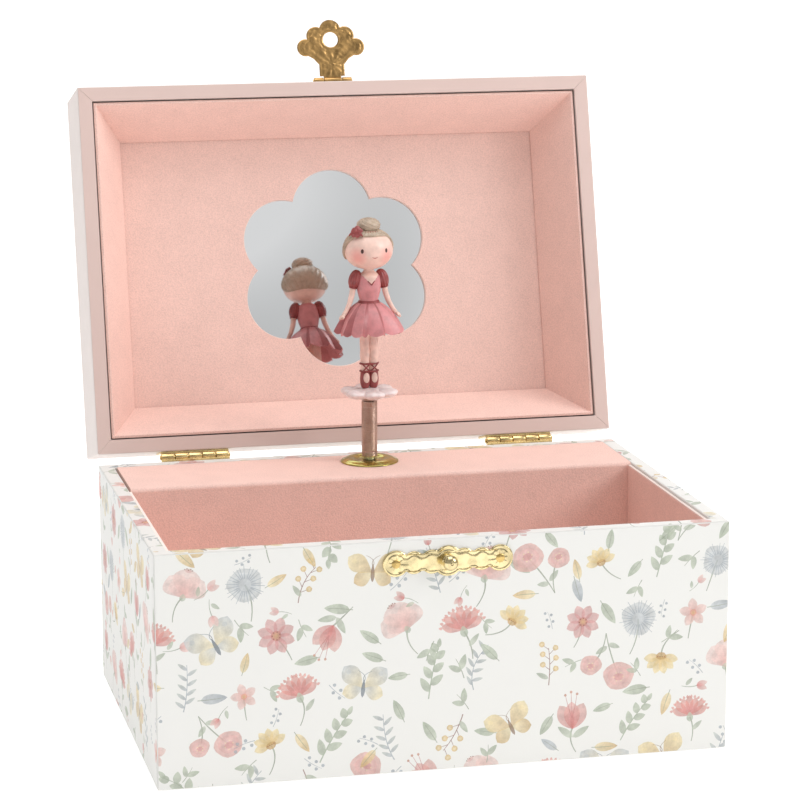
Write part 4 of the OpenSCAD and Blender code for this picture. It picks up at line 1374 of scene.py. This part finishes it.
def make_head():
    segments, rings = 72, 44
    verts = []
    for j in range(rings + 1):
        rise = math.pi * (j / rings - 0.5) * 0.999
        verts += [head_surface(TURN * i / segments, rise) for i in range(segments)]
    parts = [mesh_piece("doll_head_shape", verts, grid_faces(rings + 1, segments), MATS["face"])]
    for side in (-1, 1):
        at = head_surface(side * math.radians(31), math.radians(3))
        out = (at - Vector((DOLL.x, DOLL.y, HEAD_MID))).normalized()
        parts.append(ellipsoid("eye", at - out * 0.05 * MM, (0.56, 0.8, 0.22), MATS["eye"],
                               facing_out(out), 20, 12))
    half = 6
    smile, radii = [], []
    for i in range(-half, half + 1):
        t = i / half
        smile.append(head_surface(math.radians(7.5) * t, math.radians(-17 + 3.2 * t * t), 0.02 * MM))
        radii.append(0.03 * MM + 0.13 * MM * (1 - t ** 2))
    parts.append(tube("smile", smile, radii, MATS["mouth"], 8))
    finish_piece(joined("doll_head_piece", parts), "doll", "skin", "doll_head")


def hair_cap():
    """Swept-back cap of hair with sculpted strands."""
    segments, rings = 216, 30
    lips = (-0.25, 0.25, 0.5, 0.6)
    verts = []
    for j in range(rings + 1):
        for i in range(segments):
            a = TURN * i / segments
            # the hair ends high over the brow and low behind
            front = math.cos(a)
            low = math.radians(-34 + 78 * (0.5 + 0.5 * math.tanh(3.2 * (front - 0.05))) + 2.5 * front)
            if j < len(lips):
                rise = low + math.radians(0.6 * j)
                lift = lips[j] * MM
            else:
                t = (j - len(lips) + 1) / (rings - len(lips) + 1)
                rise = low + math.radians(1.8) + (math.radians(88) - low - math.radians(1.8)) * t
                lift = 0.62 * MM
            sweep = a + 0.5 * math.sin(a) * (rise - low)
            strand = 0.5 + 0.5 * math.cos(26 * sweep + 1.5 * noise.noise(Vector((a * 2, rise, 0))))
            depth = (0.26 * strand ** 0.6 + 0.07 * math.cos(71 * sweep)) * MM
            fade = min(1.0, j / 4) * (0.35 + 0.65 * max(0.0, math.cos(rise)))
            verts.append(head_surface(a, min(rise, math.radians(89)), lift - 0.2 * MM * fade + depth * fade))
    crown = caps(rings + 1, segments)[1]
    return mesh_piece("cap", verts, grid_faces(rings + 1, segments) + [crown], MATS["hair"])


def make_hair():
    """Cap and coiled bun, then the band and rosette at the bun's foot."""
    cap = hair_cap()
    rose = MATS["rose"]
    centre = doll_point(0, 0, 0) + Vector((0, 0, HEAD_LOW + 15.5 * MM))

    def twist(a, b):
        return 1 + 0.055 * abs(math.cos(3.5 * (a + 1.9 * b))) ** 0.7 + 0.02 * math.cos(17 * (a + 1.4 * b))

    bun = ellipsoid("bun", centre, (4.0, 3.8, 2.6), MATS["hair"], segments=112, rings=56, shape=twist)
    finish_piece(joined("doll_hair_piece", [cap, bun]), "doll", "hair", "doll_hair")

    ring = around(72, lambda a: centre + Vector((4.15 * math.cos(a), 4.0 * math.sin(a),
                                                 -2.15 - 0.25 * math.cos(a) ** 2)) * MM)
    parts = [tube("band", ring, 0.5 * MM, rose, 10, close=True)]
    # the rosette sits on the viewer's left
    out = Vector((-0.55, -0.62, 0.42)).normalized()
    side = out.cross(UP).normalized()
    up = side.cross(out)
    middle = doll_point(-5.5, -3.4, 0) + Vector((0, 0, HEAD_LOW + 13.9 * MM))
    for k in range(5):
        a = TURN * k / 5 + 0.3
        way = side * math.cos(a) + up * math.sin(a)
        parts.append(ellipsoid("petal", middle + way * 1.25 * MM, (1.15, 1.15, 0.5), rose,
                               facing_out((out + 0.45 * way).normalized()), 24, 14,
                               lambda a, b: 1 + 0.06 * math.cos(3 * a)))
    parts.append(ellipsoid("heart", middle + out * 0.55 * MM, (0.75, 0.75, 0.55), rose, facing_out(out),
                           20, 12, lambda a, b: 1 + 0.07 * math.cos(5 * a + 4 * b)))
    for bend in (-1, 1):
        steps = [i / 8 for i in range(9)]
        path = [middle + side * bend * (1.2 + 1.5 * t) * MM + up * (-0.6 - 0.9 * t * t) * MM
                - out * 0.5 * MM * t for t in steps]
        parts.append(tube("ribbon", path, [0.55 * MM * (1 - 0.6 * t ** 2) for t in steps], rose, 8))
    finish_piece(joined("doll_rosette", parts), "doll", "sleeve_red", "doll_bow")


def bust(z, waist):
    """How far the bodice stands out in front, in millimetres."""
    return 0.28 * math.exp(-((z - waist - 5.6) / 1.5) ** 2)


def doll_torso(waist, vee):
    """Bodice and the bare skin over its neckline, one mesh with two materials."""
    rows = [(-4.2, 3.2), (-1, 3.25), (0, 3.2), (0.8, 3.3), (2.2, 3.75), (4, 4.2), (6, 4.4), (8, 4.4),
            (9.4, 4.0), (10.2, 3.0), (10.8, 2.1), (11.4, 1.75), (HEAD_LOW / MM + 1 - waist, 1.7)]
    fine = [(waist + z, r) for _, _, (z, r) in resampled(rows, 4 * (len(rows) - 1))]
    segments = 88
    verts, skin = [], []
    for z, r in fine:
        for i in range(segments):
            a = TURN * i / segments
            fold = 0.05 * math.cos(14 * a) * max(0.0, 1 - abs(z - waist - 1.5) / 3)
            forward = bust(z, waist) * max(0.0, -math.sin(a)) ** 2
            verts.append(doll_point((r + fold) * math.cos(a), (r + fold) * math.sin(a) * 0.78 - forward, z))
    for (z0, r0), (z1, r1) in zip(fine, fine[1:]):
        z = (z0 + z1) / 2
        for i in range(segments):
            a = TURN * (i + 0.5) / segments
            front = math.sin(a) < 0 and z > vee + abs((r0 + r1) / 2 * math.cos(a)) * 1.15
            skin.append(front or z > waist + 10.3)
    torso = mesh_piece("torso", verts, grid_faces(len(fine), segments), MATS["dress"])
    torso.data.materials.append(MATS["skin"])
    for face, bare in zip(torso.data.polygons, skin):
        face.material_index = int(bare)
    return torso


def doll_arm(side, shoulder):
    """Puffed sleeve, cuff, arm, hand and thumb."""
    def spot(x, y, down):
        return doll_point(side * x, y, shoulder - down)

    def lean(degrees):
        return Matrix.Rotation(side * math.radians(degrees), 3, "Y")

    parts = [ellipsoid("sleeve", spot(5.0, 0.2, 2.3), (2.2, 2.3, 3.3), MATS["rose"], lean(-16), 72, 36,
                       lambda a, b: 1 + 0.045 * math.cos(12 * a) * math.cos(b) + 0.06 * math.sin(-b) ** 2),
             ribbon_ring("cuff", 1.2, 1.2, shoulder - 5.2, 0.28, 32, 8, (side * 5.8, 0.1), side * 0.3)]
    points = [(5.6, 0.1, 4.4), (6.2, -0.1, 7.6), (7.2, -0.5, 10.6), (8.6, -1.0, 13.2), (9.6, -1.3, 14.5)]
    steps = 24
    path = [spot(*p) for _, _, p in resampled(points, steps)]
    radii = [(1.02 - 0.24 * n / steps + 0.06 * math.sin(TURN * n / steps)) * MM for n in range(steps + 1)]
    thumb = [spot(9.7, -2.0, 14.6), spot(9.9, -2.6, 15.1), spot(10.3, -2.9, 15.7)]
    skin = MATS["skin"]
    return parts + [tube("arm", path, radii, skin, 16),
                    ellipsoid("hand", spot(10.2, -1.5, 15.1), (0.72, 0.95, 1.5), skin, lean(-48), 24, 16),
                    tube("thumb", thumb, [0.36 * MM, 0.32 * MM, 0.2 * MM], skin, 10)]


def make_bodice():
    """Bodice, neckline, sash and both arms."""
    waist = WAIST_Z / MM
    vee = waist + 6.4
    parts = [doll_torso(waist, vee)]
    for side in (-1, 1):
        trim = []
        for i in range(10):
            t = i / 9
            z, x = vee + 3.1 * t, side * 2.7 * t
            r = 4.4 - 0.35 * max(0.0, z - waist - 7)
            y = -math.sqrt(max(0.1, r * r - x * x)) * 0.78 - bust(z, waist)
            trim.append(doll_point(x, y - 0.05, z))
        parts.append(tube("trim", trim, 0.22 * MM, MATS["rose"], 8))
    parts.append(ribbon_ring("sash", 3.35, 2.68, waist + 0.1, 0.5, 64))
    for side in (-1, 1):
        parts += doll_arm(side, waist + 10.4)
    finish_piece(joined("doll_body", parts), "doll", "dress", "doll_bodice")


PLEAT_RISE = 0.75


def pleat(a, count):
    """Broad flat fold with a crisp crease: 0 in the valley and 1 at the crease."""
    t = (a * count / TURN) % 1.0
    return t / PLEAT_RISE if t < PLEAT_RISE else (1 - t) / (1 - PLEAT_RISE)


def make_skirt():
    """Stiff skirt of broad pleats with a scalloped hem, and its underside; the short turned face of each
    pleat is a darker copy of the dress paint, a painted shade.
    """
    count, per, rows = 10, 16, 22
    segments = count * per
    waist, low = WAIST_Z / MM, SKIRT_LOW / MM
    verts = []
    for inside in (0, 1):
        for j in range(rows + 1):
            t = j / rows
            for i in range(segments):
                a = TURN * i / segments
                crease = pleat(a, count)
                flare = 3.3 + 8.1 * (t ** 0.82) + 0.5 * math.sin(math.pi * t)
                depth = (2.4 * t ** 1.1) * (crease - 0.5)
                dip = 0.9 * t ** 4 * (1 - abs(2 * crease - 1) ** 2) + 0.35 * t ** 2 * math.sin(2 * a + 1)
                r = flare + depth - inside * (0.45 + 0.25 * t)
                z = waist - (waist - low - 0.9) * (t ** 1.22) - dip - inside * 0.25 * (1 - t)
                verts.append(doll_point(r * math.cos(a), r * math.sin(a), z))
    sheet = (rows + 1) * segments
    outside = [(a, d, c, b) for a, b, c, d in grid_faces(rows + 1, segments)]
    faces = outside + [tuple(sheet + k for k in face[::-1]) for face in outside]
    for j in (0, rows):
        edge = [(j * segments + i, j * segments + (i + 1) % segments) for i in range(segments)]
        joins = [(a, b, sheet + b, sheet + a) for a, b in edge]
        faces += joins if j == 0 else [face[::-1] for face in joins]
    skirt = mesh_piece("skirt", verts, faces, MATS["dress"])
    # painted shade: the short turned face of each outside pleat gets the darker copy of the dress paint
    skirt.data.materials.append(MATS["pleat"])
    for index, face in enumerate(skirt.data.polygons):
        face.material_index = int(index < rows * segments and index % per >= PLEAT_RISE * per)
    parts = [sharpened(skirt, 24), ribbon_ring("waistband", 3.75, 3.6, waist - 0.5, 0.42, 72)]
    finish_piece(joined("doll_skirt_piece", parts), "doll", "dress", "doll_skirt")


def make_legs():
    """Two legs together in stockings, with laced dancing shoes."""
    foot = FLOWER[1].z / MM
    leg = [(foot + z, r) for z, r in ((5.6, 1.62), (7, 1.5), (9.5, 1.62), (12, 1.8), (14, 1.74), (16, 1.85))]
    leg.append((WAIST_Z / MM - 5.2, 2.05))
    shoe = ((-0.2, 1.15), (0.6, 1.5), (1.8, 1.85), (3.2, 1.95), (4.6, 1.8), (5.8, 1.72), (6.1, 1.6))
    parts = []
    for side in (-1, 1):
        path, radii = [], []
        for i, f, (z, _) in resampled(leg, 40):
            path.append(doll_point(side * 1.5, 0, z))
            f = f * f * (3 - 2 * f)
            radii.append((leg[i][1] * (1 - f) + leg[i + 1][1] * f) * MM)
        parts.append(tube("leg", path, radii, MATS["skin"], 28))
        path = [doll_point(side * 1.5, -0.15, foot + z) for z, _ in shoe]
        parts.append(subdivided(tube("shoe", path, [r * MM for _, r in shoe], MATS["rose"], 28)))
        parts.append(ellipsoid("instep", doll_point(side * 1.5, -1.8, foot + 3.9), (1.1, 0.5, 1.9),
                               MATS["skin"], segments=24, rings=16))
    parts += [ribbon_ring("ankle_band", 3.3, 1.75, foot + z, 0.34, 48) for z in (6.2, 8.9)]
    for side in (-1, 1):
        for way in (-1, 1):
            lace = []
            for i in range(15):
                t = i / 14
                x = way * (1.35 - 2.7 * t)
                y = -math.sqrt(max(0.05, 1.72 ** 2 - x ** 2)) - 0.02
                lace.append(doll_point(side * 1.5 + x, y, foot + 6.2 + 2.6 * t))
            parts.append(tube("lace", lace, 0.24 * MM, MATS["rose"], 8))
    finish_piece(joined("doll_legs_piece", parts), "doll", "skin", "doll_legs")


def make_flower():
    """Thick six-petalled flower on its taupe plug."""
    low, high = FLOWER[0].z / MM, FLOWER[1].z / MM
    base = high - 2.9

    def notched(u, v):
        notch = 1 - 0.07 * math.exp(-(min(u, TURN - u) / 0.22) ** 2)
        return notch * (1 + 0.05 * math.cos(2 * u))

    parts = []
    for i in range(6):
        a = math.radians(60 * i - 90) + FACING
        centre = Vector((DOLL.x + 6.0 * MM * math.cos(a), DOLL.y + 6.0 * MM * math.sin(a), (base + 1.2) * MM))
        turn = Matrix.Rotation(a, 3, "Z") @ Matrix.Rotation(math.radians(-7), 3, "Y")
        parts.append(ellipsoid("petal", centre, (4.35, 4.0, 1.7), MATS["petal"], turn, 56, 28, notched))
    parts.append(ellipsoid("heart", Vector((DOLL.x, DOLL.y, (base + 1.6) * MM)), (4.8, 4.8, 1.5),
                           MATS["petal"], segments=48, rings=20,
                           shape=lambda a, b: 1 + 0.02 * math.cos(6 * a)))
    profile = [(1.7, low), (1.7, low + 1.7), (2.4, low + 2.0), (2.9, low + 2.2), (3.0, low + 2.5),
               (3.2, low + 3.1), (3.8, base - 0.1), (4.2, base + 0.4), (0.5, base + 0.5)]
    parts.append(turned("plug", scaled(profile), MATS["plug"], 56, (DOLL.x, DOLL.y)))
    finish_piece(joined("doll_flower", parts), "doll", "flower_pink", "flower_base")


def make_doll():
    make_flower()
    make_legs()
    make_skirt()
    make_bodice()
    make_head()
    make_hair()


# ------------------------------------------------------------------ plain nodes that stay


def give(mat, *names):
    """A CAD node keeps its shape and gets a better material."""
    for name in names:
        mesh = nodes[name].data
        mesh.materials.clear()
        mesh.materials.append(mat)


def dress_nodes():
    give(MATS["paper"], "body_bottom")
    give(MATS["mirror"], "mirror_glass")
    give(MATS["nail"], "hinge_pins", "hasp_pin", "key_escutcheon")
    give(MATS["gold"], "spindle_gear", "barrel_gear", "note_cylinder", "cylinder_wheel", "idler")
    give(MATS["cast"], "movement_frame", "barrel_bridge")
    give(MATS["dark_steel"], "comb_screws", "mainspring")
    give(MATS["steel"], "movement_screws", "comb", "click_spring", "barrel_drum", "winding_arbor",
         "ratchet_wheel", "cylinder_arbor", "governor_worm", "governor_fan", "spindle")


# ------------------------------------------------------------------ stage


def area_light(name, location, size, power):
    """Square soft light that looks at the middle of the object."""
    data = bpy.data.lights.new(name, "AREA")
    data.shape = "RECTANGLE"
    data.size = data.size_y = size
    data.energy = power
    data.color = linear((255, 255, 255))
    light = bpy.data.objects.new(name, data)
    bpy.context.scene.collection.objects.link(light)
    light.location = location
    light.rotation_euler = (Vector((0, 0, 0.1)) - Vector(location)).to_track_quat("-Z", "Y").to_euler()


def make_floor():
    """Pale floor that glows a little and curves up into a wall behind."""
    mat = Material("floor", (250, 250, 250), roughness=0.8)
    mat.shader.inputs["Emission Color"].default_value = (1, 1, 1, 1)
    mat.shader.inputs["Emission Strength"].default_value = 0.4
    mat.base(mat.ramp(mat.noise(4), [(0.3, (249, 249, 249)), (0.7, (252, 252, 252))]))
    reach, depth, bend, top, drop = 20.0, 1.6, 0.8, 4.0, 0.0004
    profile = [(-reach, 0.0), (depth, 0.0), *arc((depth, bend), bend, range(-84, 1, 6)), (depth + bend, top)]
    verts = [(x, y, z - drop) for y, z in profile for x in (-reach, reach)]
    faces = [(2 * i, 2 * i + 1, 2 * i + 3, 2 * i + 2) for i in range(len(profile) - 1)]
    mesh_piece("floor", verts, faces, mat.data)


def make_stage():
    make_floor()
    area_light("key", (1.5, -0.75, 1.15), 0.9, 17)
    area_light("fill", (-1.3, -1.4, 0.9), 1.4, 0.5)
    area_light("front", (0.75, -2.2, 0.95), 0.9, 1.1)
    area_light("top", (0.0, -0.1, 1.7), 1.4, 15)
    scene = bpy.context.scene
    scene.world = bpy.data.worlds.new("studio")
    scene.world.use_nodes = True
    background = scene.world.node_tree.nodes["Background"]
    background.inputs["Color"].default_value = (1, 1, 1, 1)
    background.inputs["Strength"].default_value = 0.36
    scene.view_settings.view_transform = "Standard"
    scene.view_settings.look = "None"
    data = bpy.data.cameras.new("camera")
    data.lens = 134.84
    data.sensor_width = 36
    data.clip_start, data.clip_end = 0.02, 30
    data.dof.use_dof = False
    camera = bpy.data.objects.new("camera", data)
    scene.collection.objects.link(camera)
    camera.location = (-0.2245, -0.9695, 0.3111)
    camera.rotation_euler = (math.radians(78.54), math.radians(0.16), math.radians(-13.05))
    scene.camera = camera


make_body()
make_compartment()
make_deck()
make_lid()
make_hinges()
make_clasp()
make_hasp()
make_bush()
make_spring()
make_key()
make_doll()
dress_nodes()
make_stage()
